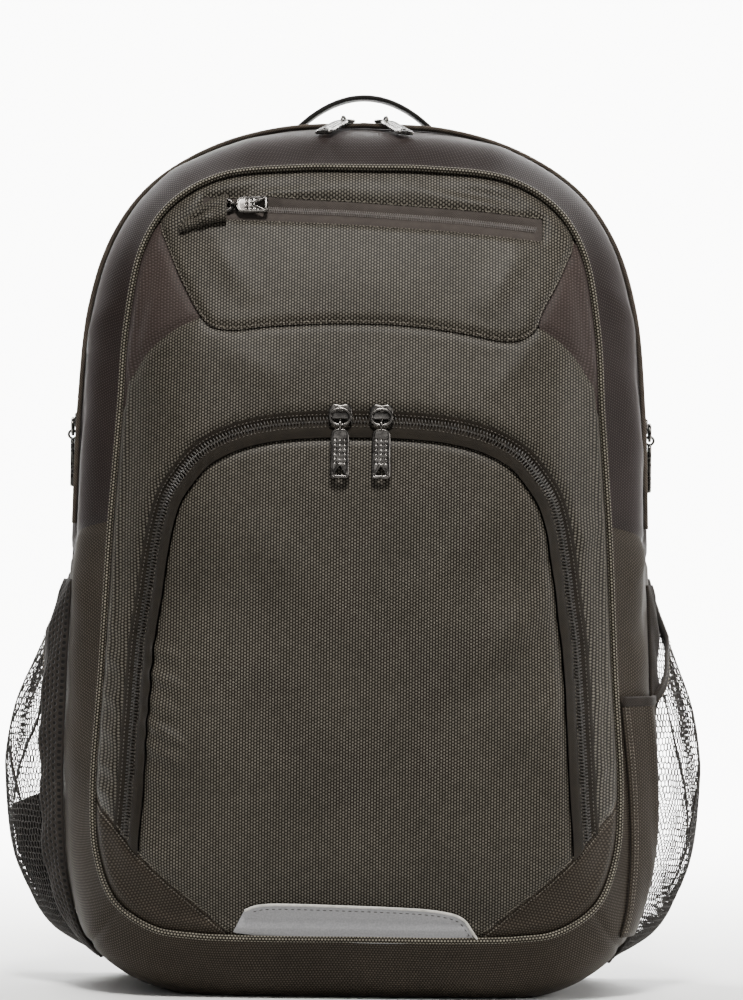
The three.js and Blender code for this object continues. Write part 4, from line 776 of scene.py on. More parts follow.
def face_panel(name, value, material, lift=0.0, seam=1.5, turn=0.0, profile=None, **more):
    """A panel of the front face where the value, its distance from its edge, is positive. Its
    edge dips into the seam, or follows a profile of that distance."""
    value = value(FACE_AWAY)
    found, faces = clip(np.column_stack([_gx, _gz, value]), FACE_GRID, value)
    x, z, away = found.T
    shape = -seam * np.exp(-((away / 2.4) ** 2)) if profile is None else profile(away, x, z)
    points, _ = on_face(x, z, lift, shape)
    c, s = math.cos(turn), math.sin(turn)
    uv = np.column_stack([x * c + z * s, z * c - x * s])
    return add_mesh(name, points, faces, material, uv=uv, **more)


def cloth_area(obj):
    return sum(p.area for p in obj.data.polygons)


def cut_size(obj, area):
    """The flat cut of a panel: its width and length with the shape's own area."""
    low, high = (np.array([f(v) for v in zip(*[tuple(p.co) for p in obj.data.vertices])]) for f in (min, max))
    size = sorted(high - low)[-2:]
    grow = max(1.0, math.sqrt(area / (size[0] * size[1])) * 1.001)
    return size[0] * grow, size[1] * grow


def declare(obj, size=None, sides=1):
    """Works out a sheet's flat cut, its width and length, from its own area when no size is given; nothing is done with
    it. A closed band has two sides."""
    area = cloth_area(obj) / sides
    if size is None:
        width, length = cut_size(obj, area)


def zip_profile(_, x, z):
    """Profile of the lower pocket's zip: two tapes with the coil sunk between them."""
    away = distance_in(ARCH, x, z)
    near = np.abs(away)
    return np.where(near < 2.6, -1.4, np.where(away > 0, 0.35, 0.0)) - 0.8 * np.exp(-(((near - 3.0) / 0.8) ** 2))


def build_face():
    clear = lambda d: least(-d["corner_left"], -d["corner_right"])
    made = [
        face_panel("front_panel_cloth",
                   lambda d: least(d["welt"], -d["arch"] - TAPE_OUTSIDE, clear(d), -d["quick"], -d["yoke_left"],
                                   -d["yoke_right"]),
                   FRONT, slot="weave", replaces=["front_panel"]),
        face_panel("lower_pocket_cloth", lambda d: least(d["welt"], d["arch"] - TAPE_INSIDE, clear(d)),
                   FRONT, slot="weave", replaces=["lower_pocket_panel"]),
    ]
    for sign, side in SIDES:
        made.append(face_panel(
            f"yoke_{side}_cloth", lambda d: least(d["welt"], d[f"yoke_{side}"], -d["quick"], sign * _gx),
            YOKE_PAINTED_LIGHT, slot="plain", replaces=[f"yoke_{side}"]))
        made.append(face_panel(
            f"corner_{side}_cloth", lambda d: least(d["welt"], d[f"corner_{side}"]),
            SIDE, turn=0.35 * sign, slot="weave", replaces=[f"bottom_corner_{side}"]))
    made.append(face_panel(
        "quick_pocket_cloth", lambda d: least(d["welt"], d["quick"], -d["quick_zip"]),
        FRONT, lift=QUICK_LIFT, seam=2.2, slot="weave", replaces=["quick_pocket_panel"]))
    for obj in made:
        declare(obj)


def parts_where(keep, *arrays):
    """Splits arrays into runs where keep is true."""
    made, start = [], None
    for i, good in enumerate(list(keep) + [False]):
        if good and start is None:
            start = i
        elif not good and start is not None:
            if i - start > 2:
                made.append([a[start:i] for a in arrays])
            start = None
    return made


def offset_line(line, distance):
    """A line moved to its left by the distance."""
    line = np.asarray(line, float)
    along = np.gradient(line, axis=0)
    along /= np.maximum(np.linalg.norm(along, axis=1), 1e-9)[:, None]
    return line + np.column_stack([-along[:, 1], along[:, 0]]) * distance


def add_stitches(batch, path, normal, length=2.3, gap=1.1, radius=0.32):
    """Stitches as short rounded bars lying along a path."""
    run = lengths(path)
    count = int(run[-1] // (length + gap))
    if count < 1:
        return
    starts = (np.arange(count) + 0.15) * (length + gap)
    pick = lambda a, at: np.column_stack([np.interp(at, run, a[:, i]) for i in range(3)])
    a, b, n = pick(path, starts), pick(path, starts + length), pick(normal, starts + length / 2)
    d = b - a
    d /= np.maximum(np.linalg.norm(d, axis=1), 1e-9)[:, None]
    side = np.cross(d, n)
    side /= np.maximum(np.linalg.norm(side, axis=1), 1e-9)[:, None]
    out = np.cross(side, d)
    rows = []
    for along, size in ((0.0, 0.35), (0.18, 0.9), (0.5, 1.15), (0.82, 0.9), (1.0, 0.35)):
        centre = a + (b - a) * along - out * radius * (0.55 if size < 0.5 else 0.0)
        for turn in np.arange(5) * 2 * np.pi / 5:
            rows.append(centre + (side * math.cos(turn) + out * math.sin(turn)) * radius * size)
    pts = np.stack(rows, 1).reshape(count, 25, 3)
    one = grid_faces(5, 5, closed=True)
    batch.add(pts.reshape(-1, 3), (one[None] + 25 * np.arange(count)[:, None, None]).reshape(-1, 4))


def stitch_face(batch, line, keep, lift=0.0, rise=0.0, **style):
    """Stitches along a line on the front face, where keep is true."""
    for part, in parts_where(keep, line):
        add_stitches(batch, *on_face(*part.T, lift, rise), **style)


def add_teeth(batch, path, normal, pitch=1.75, reach=2.6, height=1.0, thick=1.1):
    """Coil teeth: slanted rounded bars from both sides, meeting in the middle."""
    run = lengths(path)
    places = np.arange(0.5 * pitch, run[-1], pitch / 2)
    pick = lambda a: np.column_stack([np.interp(places, run, a[:, i]) for i in range(3)])
    at, n = pick(path), pick(normal)
    ahead = np.gradient(at, axis=0)
    ahead /= np.linalg.norm(ahead, axis=1)[:, None]
    side = np.cross(ahead, n)
    side /= np.linalg.norm(side, axis=1)[:, None]
    out = np.cross(side, ahead)
    hand = np.where(np.arange(len(places)) % 2, 1.0, -1.0)[:, None]
    rows = []
    for across, rise, size in ((-0.25, 0.55, 0.6), (0.1, 1.0, 1.0), (0.7, 0.95, 1.0), (1.05, 0.3, 0.8)):
        centre = at + side * hand * across * reach + ahead * (across * 0.35)
        half = thick / 2 * size * 0.8
        rows += [centre - ahead * half, centre - ahead * half * 0.7 + out * height * rise,
                 centre + ahead * half * 0.7 + out * height * rise, centre + ahead * half]
    pts = np.stack(rows, 1)
    one = grid_faces(4, 4)
    one = np.vstack([one, [[0, 1, 2, 3], [15, 14, 13, 12]]])
    batch.add(pts.reshape(-1, 3), (one[None] + 16 * np.arange(len(places))[:, None, None]).reshape(-1, 4))


# Gusset: welt, bend, main zip and back to the laptop compartment

SECTION_STEPS = 30
REAR_STEPS = 8
_front = curve([WELT + [0, 0.3, 0], BEND, body_ring(ZIP_FRONT, ZIP_DIP)], SECTION_STEPS)
_slot = np.array([body_ring(ZIP_FRONT + (ZIP_REAR - ZIP_FRONT) * k / 3, ZIP_DIP - k / 3) for k in range(1, 3)])
_rear = curve([body_ring(ZIP_REAR, ZIP_DIP - 1), body_ring(36, 0.2), body_ring(LAPTOP_FRONT - GAP, 0.3)], REAR_STEPS)
GUSSET = np.concatenate([_front, _slot, _rear])

# Folds of the gusset: both ends, height and width
GUSSET_FOLDS = [
    (-150, -40, 205, -158, -10, 232, 1.2, 8), (-150, -30, 150, -160, 0, 178, -1.2, 9),
    (-144, -44, 120, -158, -8, 138, 1.3, 8), (-140, -48, 92, -156, -14, 104, -1.2, 8),
    (-132, -52, 64, -150, -14, 74, 1.3, 8), (150, -36, 226, 160, -6, 246, 1.5, 8),
    (150, -34, 196, 160, -2, 214, -1.4, 8), (148, -36, 176, 160, -6, 190, 1.2, 7),
    (-134, -36, 372, -150, 6, 352, 1.2, 9), (-146, -22, 320, -156, 8, 300, -0.9, 9),
    (134, -38, 384, 148, 4, 360, 1.4, 8), (140, -36, 352, 152, 6, 330, -1.0, 9),
    (146, -24, 306, 156, 8, 288, 0.9, 9), (-60, -36, 452, -64, 8, 472, 0.8, 9),
    (70, -36, 452, 76, 8, 470, 0.8, 9), (-96, -36, 436, -108, 6, 452, 1.0, 9),
    (-90, -72, 28, -40, -66, 10, 1.5, 7), (-30, -78, 26, 10, -66, 8, -1.0, 9),
    (36, -78, 27, 80, -66, 14, 1.2, 8), (96, -72, 32, 118, -46, 22, 1.2, 7),
    (-112, -66, 38, -124, -44, 26, -1.4, 6),
]


def surface_normals(grid):
    """Outward directions of a closed band of rings, seen from the body's middle."""
    along = np.roll(grid, -1, 1) - np.roll(grid, 1, 1)
    across = np.gradient(grid, axis=0)
    out = np.cross(along, across)
    out /= np.maximum(np.linalg.norm(out, axis=2), 1e-9)[..., None]
    away = grid - np.array([0, 20, FACE_CENTRE])
    if np.sum(out * away) < 0:
        out = -out
    return out


GUSSET_OUT = surface_normals(GUSSET)
_run = np.concatenate([[0], np.cumsum(np.linalg.norm(np.diff(BODY, axis=0), axis=1))])
_cross = np.concatenate([[np.zeros(GUSSET.shape[1])], np.cumsum(np.linalg.norm(np.diff(GUSSET, axis=0), axis=2), 0)])


def band_table(grid, out, run, cross):
    """Rows of x, y, z, outward direction, and the cloth's map, with the seam at the base doubled."""
    n = grid.shape[1]
    wrap = np.r_[np.arange(n), 0]
    along = np.append(run, run[-1] + np.linalg.norm(grid[0, 0] - grid[0, -1]))
    table = np.concatenate([grid, out, np.stack(np.broadcast_arrays(along[None, :n], cross), -1)], 2)[:, wrap]
    table[:, -1, 6] = along[-1]
    return table.reshape(-1, 8), grid_faces(grid.shape[0], n + 1)


GUSSET_TABLE, GUSSET_GRID = band_table(GUSSET, GUSSET_OUT, _run, _cross)


def base_outline():
    right = np.array([(h * HALF_WIDTH, u * BODY_HEIGHT) for h, u in BASE_ROWS])
    return np.vstack([right, (right * [-1, 1])[::-1]])


def gusset_values():
    x, y, z = GUSSET_TABLE[:, :3].T
    slot = np.maximum.reduce([ZIP_END - z, ZIP_FRONT - y + 0.01, y - ZIP_REAR + 0.01])
    seam = (z + SEAM_FALL * y - SEAM_HEIGHT) / math.hypot(1, SEAM_FALL)
    return {"slot": slot, "seam": seam, "base": distance_in(base_outline(), x, z), "x": x}


def band_panel(name, table, grid, value, material, folds=(), seam=1.2, calm=0.4, swap=True, flip=False,
               thick=0.0, **more):
    """A panel of a closed band of rings, where the value, its distance from its edge, is positive."""
    found, faces = clip(np.column_stack([table, value]), grid, value)
    points, out, uv, away = found[:, :3], found[:, 3:6], found[:, 6:8], found[:, 8]
    out = out / np.maximum(np.linalg.norm(out, axis=1), 1e-9)[:, None]
    height = calm * wavy(points[:, 0], points[:, 1], points[:, 2], 26, 5) * smooth(away, 0, 8)
    if len(folds):
        height = height + ridges(points, folds) * smooth(away, 0, 6)
    height = height - seam * np.exp(-((away / 2.6) ** 2))
    moved = points + out * height[:, None]
    moved[:, 2] = np.maximum(moved[:, 2], 0.02)
    if flip:
        faces = [f[::-1] for f in faces]
    obj = add_mesh(name, moved, faces, material, uv=uv[:, ::-1] if swap else uv, **more)
    if thick:
        give_wall(obj, thick, -1)
    return obj


def build_gusset():
    d = gusset_values()
    low = -d["seam"]
    for name, value, material, slot, node in (
        ("gusset_cloth", least(d["slot"], d["seam"]), PLAIN, "plain", "gusset_upper"),
        ("side_left_cloth", least(low, -d["base"], -d["x"], d["slot"]), SIDE, "weave", "side_panel_left"),
        ("side_right_cloth", least(low, -d["base"], d["x"], d["slot"]), SIDE, "weave", "side_panel_right"),
        ("base_cloth", least(low, d["base"]), SIDE, "weave", "base_panel"),
    ):
        obj = band_panel(name, GUSSET_TABLE, GUSSET_GRID, value, material, GUSSET_FOLDS, slot=slot, replaces=[node])
        declare(obj)


# Laptop compartment: an open sleeve with its mouth over the top. Its rings lie close together where
# its zips and their tapes end.

SLEEVE_DEPTHS = (52, 55, 58, 59.7, 60.4, 61.8, 62.2, 64, 66, 68, 69.8, 70.2, 71.6, 72.3, 75, 79)


def shrunk(ring, share, y):
    """A ring drawn in towards the middle of the body, at a depth."""
    return at_depth(np.array([0, 0, FACE_CENTRE]) + (ring - [0, 0, FACE_CENTRE]) * share, y)


def build_laptop():
    y0, y1 = LAPTOP_FRONT, LAPTOP_BACK
    face_front = [shrunk(BODY, s, y0 + 0.4) for s in (0.2, 0.5, 0.8, 0.95)]
    side = [body_ring(y0 + 0.2, 1.2), body_ring(y0 + 1.4, 0.2)]
    side += [body_ring(y, -0.3 * math.sin(math.pi * (y - y0) / 36)) for y in SLEEVE_DEPTHS]
    corner = [body_ring(y1 - BACK_CORNER + BACK_CORNER * math.sin(t), BACK_CORNER * (1 - math.cos(t)))
              for t in np.linspace(0, math.pi / 2, 5)]
    back_face = [shrunk(inset(BODY, BACK_CORNER), s, y1) for s in (0.97, 0.93, 0.8, 0.5, 0.2)]
    for ring in face_front + back_face:
        ring[:, 2] = np.maximum(ring[:, 2], 0.3)
    shell = np.array(face_front + side + corner + back_face)
    out = surface_normals(shell)
    cross = np.concatenate([[np.zeros(shell.shape[1])], np.cumsum(np.linalg.norm(np.diff(shell, axis=0), axis=2), 0)])
    table, grid = band_table(shell, out, _run, cross)
    _, y, z = table[:, :3].T
    mouth = np.maximum.reduce([MOUTH_END - z, np.abs(y - MOUTH_MIDDLE) - MOUTH_WIDTH / 2])
    low_zip = np.maximum.reduce([LAPTOP_ZIP_LOW - z, z - MOUTH_END, np.abs(y - MOUTH_MIDDLE) - LAPTOP_ZIP_WIDTH / 2])
    return band_panel("laptop_sleeve", table, grid, least(mouth, low_zip), PLAIN, calm=0.5, seam=0.5,
                      flip=True, thick=1.8, slot="plain", replaces=["laptop_compartment"])


# Zips round the body


def over_top(low, high=BODY_HEIGHT + 1, side=0):
    """Order of the body outline's points between two levels, from the right round to the left."""
    z, x = BODY[:, 2], BODY[:, 0]
    keep = (z >= low) & (z <= high) & ((side == 0) | (x * side > 0))
    return np.flatnonzero(keep)


def ring_path(y, distance, low, high=BODY_HEIGHT + 1, side=0, spacing=1.2):
    ring = body_ring(y, distance)
    index = over_top(low, high, side)
    out = inset(BODY, -1) - BODY
    out[:, 1] = 0
    return resample(ring[index], spacing, out[index])


def ring_strip(name, stops, low, material, high=BODY_HEIGHT + 1, side=0, **more):
    """A band of cloth round the body between depths: stops are pairs of depth and inset."""
    index = over_top(low, high, side)
    grid = np.array([body_ring(y, distance)[index] for y, distance in stops])
    n = grid.shape[1]
    run = lengths(grid[0])
    cross = np.array([0.0, *np.cumsum([math.hypot(b[0] - a[0], b[1] - a[1]) for a, b in zip(stops, stops[1:])])])
    uv = np.stack(np.broadcast_arrays(cross[:, None], run[None, :]), -1).reshape(-1, 2)
    return add_mesh(name, grid.reshape(-1, 3), grid_faces(len(stops), n)[:, ::-1], material, uv=uv, **more)


def declare_band(obj, width):
    """Works out a long tape's length from its width and area, and passes both to declare, which does nothing with them.
    """
    declare(obj, size=(width, cloth_area(obj) * 1e6 / width))


# depth and inset of the zips' tapes
MAIN_TAPE = [(13.2, 4.0), (14.2, 5.0), (16.6, 5.1), (16.8, 5.5), (21.2, 5.3), (21.4, 4.8), (23.8, 4.6), (24.8, 3.4)]
LAPTOP_TAPE = [(61.6, 0.6), (62.4, 1.4), (63.8, 1.5), (64.0, 1.8), (68.0, 1.8), (68.2, 1.5), (69.6, 1.4), (70.4, 0.6)]


def clear_of_corners(line):
    """Where a line on the front face is clear of the corner panels and inside the welt."""
    outside = [distance_in(CORNERS[side], *line.T) < 0 for side in (-1, 1)]
    return outside[0] & outside[1] & (distance_in(WELT_LINE, *line.T) > 0)


def build_mouth_tape(word, y, hand, dark, teeth):
    """Tape, teeth and stitches on one side of the open zip over the laptop compartment."""
    inner, outer = y - 0.2 * hand, y - 6.0 * hand
    stops = sorted([(outer, -0.2), (outer + 0.6 * hand, -0.7), (y - 2.8 * hand, -0.8), (inner, -0.3), (inner, 1.9)],
                   key=lambda p: hand * p[0])[::hand]
    tape = ring_strip(f"mouth_tape_{word}", stops, MOUTH_END - 4, TAPE, slot="zip")
    add_teeth(teeth, *ring_path(y, -0.1, MOUTH_END), pitch=3.0)
    add_stitches(dark, *ring_path(y - 4.6 * hand, -0.9, MOUTH_END))
    return tape


def build_zips(sleeve):
    teeth, light, dark, fine_teeth = Batch(), Batch(), Batch(), Batch()
    tape = ring_strip("main_zip_tape", MAIN_TAPE, ZIP_END - 2, TAPE, slot="zip", replaces=["main_zip"])
    add_teeth(teeth, *ring_path((ZIP_FRONT + ZIP_REAR) / 2, 5.2, ZIP_END))
    for word, y, distance in (("front", ZIP_FRONT - 0.9, 1.9), ("rear", ZIP_REAR + 0.9, 1.6)):
        tube(f"main_zip_edge_{word}", *ring_path(y, distance, ZIP_END), 1.35, EDGE_TAPE, 10, slot="zip")
    tube("rear_gusset_edge", *ring_path(LAPTOP_FRONT - GAP - 0.7, 0.5, ZIP_END), 1.4, EDGE_TAPE, 10, slot="webbing")
    for side, word in SIDES:
        ring_strip(f"laptop_zip_tape_{word}", LAPTOP_TAPE, LAPTOP_ZIP_LOW - 1, TAPE, MOUTH_END + 1,
                                      side, slot="zip", replaces=[f"laptop_zip_{word}"])
        add_teeth(teeth, *ring_path(MOUTH_MIDDLE, 1.6, LAPTOP_ZIP_LOW, MOUTH_END - 3, side))
    for word, y, hand in (("front", 60.2, 1), ("rear", 71.8, -1)):
        build_mouth_tape(word, y, hand, dark, teeth)
    # the lower pocket's teeth along the arch, and the quick-access zip's
    fine, = resample(ARCH, 1.2)
    for part, in parts_where(clear_of_corners(fine), fine):
        add_teeth(teeth, *on_face(*part.T, rise=-1.3))
    for distance in (-3.4, 3.3):
        line = offset_line(fine, distance)
        stitch_face(light, line, clear_of_corners(line), length=1.0, gap=1.1, radius=0.3)
    x = np.linspace(QUICK_LEFT + 2, QUICK_RIGHT - 1, 170)
    add_teeth(fine_teeth, *on_face(x, quick_level(x), rise=-1.0), pitch=1.2, reach=1.7, height=0.75)
    fine_teeth.build("quick_zip_teeth", QUICK_COIL, slot="zip")
    teeth.build("zip_teeth", COIL, slot="zip")
    light.build("zip_light_stitches", FAINT_THREAD)
    dark.build("zip_stitches", DARK_THREAD)
    quick = face_panel("quick_zip_tape", lambda d: least(d["quick_zip"] + 1.2, d["welt"]), QUICK_TAPE,
                       lift=QUICK_LIFT, profile=lambda away, x, z: np.where(away > 3.4, -2.6, -1.4),
                       slot="zip", replaces=["quick_pocket_zip"])
    lower = face_panel("lower_zip_tape", lambda d: least(
        d["arch"] + TAPE_OUTSIDE, TAPE_INSIDE - d["arch"], -d["corner_left"], -d["corner_right"], d["welt"]),
        TAPE, profile=zip_profile, slot="zip", replaces=["lower_pocket_zip"])
    for obj, width in ((tape, 14.0), (quick, QUICK_HEIGHT + 2.4), (lower, TAPE_OUTSIDE + TAPE_INSIDE)):
        declare_band(obj, width)
    area = cloth_area(sleeve)
    size = cut_size(sleeve, area)


def build_seams():
    light = Batch()
    # The welt's tube wears the front weave with a painted highlight.
    tube("face_welt", closed(WELT + [0, -0.4, 0]), closed(WELT - [0, 60, FACE_CENTRE]), 1.75, WELT_WEAVE_HIGHLIT, 10, slot="weave")
    for line, rise in ((offset_line(resample(QUICK_EDGE, 1.2)[0], 0.9), -0.5), (quick_zip_outline(1.6), -0.9)):
        stitch_face(light, line, distance_in(WELT_LINE, *line.T) > 2, QUICK_LIFT, rise, length=0.95, gap=0.95,
                    radius=0.34)
    for side in (-1, 1):
        seam, = resample(CORNERS[side][1:-2], 1.2)
        for shift in (1.3, -1.3):
            line = offset_line(seam, shift)
            keep = (distance_in(WELT_LINE, *line.T) > 1) & (distance_in(STRIP, *line.T) < 0)
            stitch_face(light, line, keep, rise=-0.6, length=0.95, gap=0.95, radius=0.3)
    light.build("seam_stitches", THREAD, slot="weave")


def build_strip():
    band = face_panel("reflective_band", lambda d: d["strip"], REFLECT,
                      profile=lambda away, x, z: 0.9 - 0.5 * np.exp(-((away / 0.8) ** 2)), slot="reflective",
                      replaces=["reflective_strip"])
    declare(band)
    fine, = resample(STRIP[38:], 1.0)
    tube("strip_piping", *on_face(*fine.T, rise=1.2), 0.75, EDGE_WHITE, 8, slot="reflective")
    stitch = Batch()
    add_stitches(stitch, *on_face(*offset_line(fine, 2.6).T, rise=0.85), radius=0.24)
    stitch.build("strip_stitches", DARK_THREAD)


# Side pockets

POCKET_ARC_STEPS = 60
SIDE_RINGS = np.concatenate([_front, [body_ring(y, 0.2) for y in (28, 36, 46, 60, 75)],
                             [body_ring(LAPTOP_BACK - BACK_CORNER, 0), body_ring(LAPTOP_BACK, BACK_CORNER)]])
SIDE_RINGS = SIDE_RINGS[:, : RING + 1]


def side_x(y, z):
    """Half width of the body's side at a depth and level."""
    y, z = np.broadcast_arrays(np.asarray(y, float), np.asarray(z, float))
    flat = z.ravel()
    xs = np.array([np.interp(flat, r[:, 2], r[:, 0]) for r in SIDE_RINGS])
    ys = np.array([np.interp(flat, r[:, 2], r[:, 1]) for r in SIDE_RINGS])
    k = np.clip(np.argmax(ys >= y.ravel(), 0), 1, len(ys) - 1)
    n = np.arange(len(flat))
    t = np.clip((y.ravel() - ys[k - 1, n]) / (ys[k, n] - ys[k - 1, n]), 0, 1)
    return (xs[k - 1, n] * (1 - t) + xs[k, n] * t).reshape(z.shape)


def mouth_level(share):
    return MOUTH_FRONT + (MOUTH_REAR - MOUTH_FRONT) * np.clip(share, 0, 1) ** 0.8


def pocket_spot(side, share, z, bulge, lift=0.6, ripple=0.0, front=POCKET_FRONT_Y, rear=POCKET_REAR_Y):
    """Point on the bulging wall of a side pocket."""
    share, z = np.broadcast_arrays(np.asarray(share, float), np.asarray(z, float))
    y = front + (rear - front) * share
    up = np.clip((z - POCKET_BASE) / (MOUTH_REAR - POCKET_BASE), 0, 1)
    out = bulge * np.maximum(0, column_at(BULGE_ROWS, up)) * np.sin(np.pi * np.clip(share, 0.0, 1.0)) ** 0.6
    wave = ripple * np.sin(share * 19 + z * 0.03) * np.sin(np.pi * np.clip(share, 0, 1)) * smooth(z, 30, 90)
    x = side_x(y, z) + lift + out + wave
    return np.stack([side * x, y, z], -1)


def pocket_arc(side, bulge):
    """Shares across the wall against true distance, at the widest level."""
    share = np.linspace(0, 1, POCKET_ARC_STEPS)
    run = lengths(pocket_spot(side, share, 120.0, bulge))
    return share, run


def net_strands(side, bulge, pitch, low, high_of, first=0.0, last=1.0, radius=0.27, lift=0.9, name="net",
                ripple=1.1, **more):
    """Knitted net with six-sided meshes between two shares of the wall."""
    share, run = pocket_arc(side, bulge)
    wide, tall = pitch, pitch * 1.25
    start, end = np.interp([first, last], share, run)
    columns, rows = int((end - start) / wide) + 1, int((MOUTH_REAR - low) / tall) + 2
    i, j = np.meshgrid(np.arange(columns * 2 + 1), np.arange(rows), indexing="ij")
    # nodes of a brick lattice: columns half a mesh apart, joined in zigzags
    u = start + i * wide / 2
    v = low + j * tall + np.where(i % 2, tall * 0.32, 0.0)
    u = u + 0.16 * wide * wavy(u, v, 0 * u, 7, 11)
    v = v + 0.16 * tall * wavy(u, v, 0 * u, 6, 12)
    u = np.where(j % 2 == 1, u + wide / 2, u)
    ends = [((a, b), (a + 1, b)) for a in range(columns * 2) for b in range(rows)]
    ends += [((a, b), (a - 1 if b % 2 == 0 else a + 1, b + 1))
             for a in range(1, columns * 2, 2) for b in range(rows - 1)]
    a, b = np.array([e[0] for e in ends]), np.array([e[1] for e in ends])
    ua, va, ub, vb = u[a[:, 0], a[:, 1]], v[a[:, 0], a[:, 1]], u[b[:, 0], b[:, 1]], v[b[:, 0], b[:, 1]]
    good = (np.maximum(ua, ub) <= end) & (np.minimum(ua, ub) >= start)
    sa, sb = np.interp(ua, run, share), np.interp(ub, run, share)
    good &= (va <= high_of(sa)) & (vb <= high_of(sb)) & (np.hypot(ua - ub, va - vb) < 3 * pitch)
    pa = pocket_spot(side, sa, va, bulge, lift, ripple)[good]
    pb = pocket_spot(side, sb, vb, bulge, lift, ripple)[good]
    d = pb - pa
    d /= np.linalg.norm(d, axis=1)[:, None]
    out = np.cross(d, np.cross(np.tile([side * 1.0, -0.15, 0], (len(d), 1)), d))
    out /= np.linalg.norm(out, axis=1)[:, None]
    across = np.cross(d, out)
    rows_made = []
    for at in (pa, pb):
        for turn in np.arange(4) * np.pi / 2:
            rows_made.append(at + (out * math.cos(turn) + across * math.sin(turn) * 1.25) * radius)
    points = np.stack(rows_made, 1).reshape(-1, 3)
    one = grid_faces(2, 4, closed=True)
    faces = (one[None] + 8 * np.arange(len(pa))[:, None, None]).reshape(-1, 4)
    return add_mesh(name, points, faces, NET, slot="net", **more)


def pocket_sheet(name, side, bulge, shares, low_of, high_of, material, lift=1.0, pleats=(), across=30, up=40,
                 front=POCKET_FRONT_Y, rear=POCKET_REAR_Y, ripple=0.0, thick=1.0, **more):
    s, t = np.meshgrid(np.linspace(*shares, across), np.linspace(0, 1, up), indexing="ij")
    z = low_of(s) + (high_of(s) - low_of(s)) * t
    points = pocket_spot(side, s, z, bulge, lift, ripple, front, rear)
    if len(pleats):
        points = points + ridges(points, pleats)[..., None] * np.array([side * 0.8, -0.6, 0])
    run = np.cumsum(np.r_[0, np.linalg.norm(np.diff(points[:, up // 2], axis=0), axis=1)])
    uv = np.stack(np.broadcast_arrays(run[:, None], z), -1).reshape(-1, 2)
    obj = add_mesh(name, points.reshape(-1, 3), grid_faces(across, up), material, uv=uv, **more)
    give_wall(obj, thick, 0)
    return obj


BULGES = {-1: BULGE_LEFT, 1: BULGE_RIGHT}
# up, stand: how far a net's folded front edge stands off the side
FOLD_ROWS = [
    (17, 1.5), (30, 6), (60, 10.5), (100, 12.5), (150, 13), (180, 12), (200, 10), (214, 6.5), (223, 2.5),
]
FOLD_RIGHT_ROWS = [(150, 1), (158, 3.5), (175, 5), (200, 5), (215, 4), (223, 1.5)]
# name, side, rows of share across the wall and level
NET_CREASES = [
    ("net_crease_left_upper", -1, [(0.2, 186), (0.15, 165), (0.12, 148), (0.2, 130), (0.29, 112), (0.36, 92)]),
    ("net_crease_left_lower", -1, [(0.42, 140), (0.36, 122), (0.27, 104), (0.2, 92)]),
    ("net_crease_right_upper", 1, [(0.06, 172), (0.1, 150), (0.16, 126), (0.25, 106), (0.3, 86), (0.24, 66)]),
    ("net_crease_right_lower", 1, [(0.5, 150), (0.44, 120), (0.36, 96), (0.3, 74), (0.22, 52)]),
]


def fold_band(name, side, rows, material):
    """A net's front edge, folded double, which stands off the bag's side."""
    s, z = np.meshgrid(np.linspace(0, 1, 10), np.linspace(rows[0][0], rows[-1][0], 90), indexing="ij")
    y = POCKET_FRONT_Y - 2.5 + 8.0 * s
    crumple = 0.7 * np.sin(z * 0.21 + 5 * s) * s + 0.5 * np.sin(z * 0.083 + 2) * s
    out = column_at(rows, z) * s**0.75 + crumple
    points = np.stack([side * (side_x(y, z) + 1.0 + out), y, z], -1)
    uv = np.stack([s * 14, z], -1).reshape(-1, 2)
    obj = add_mesh(name, points.reshape(-1, 3), grid_faces(*s.shape), material, uv=uv, slot="net")
    give_wall(obj, 1.4, 0)
    return obj


def net_crease(name, side, rows):
    """A gathered fold of the net, which reads as a dark line."""
    path = pocket_spot(side, *curve(rows, 50).T, BULGES[side], 1.0)
    out = np.tile([side * 1.0, -0.4, 0], (len(path), 1))
    taper = np.sin(np.pi * np.linspace(0.03, 0.97, len(path))) ** 0.6
    swept(name, path, out, circle(1.25, 8, 0.5), PAD_MESH, np.column_stack([taper, taper]), slot="net")


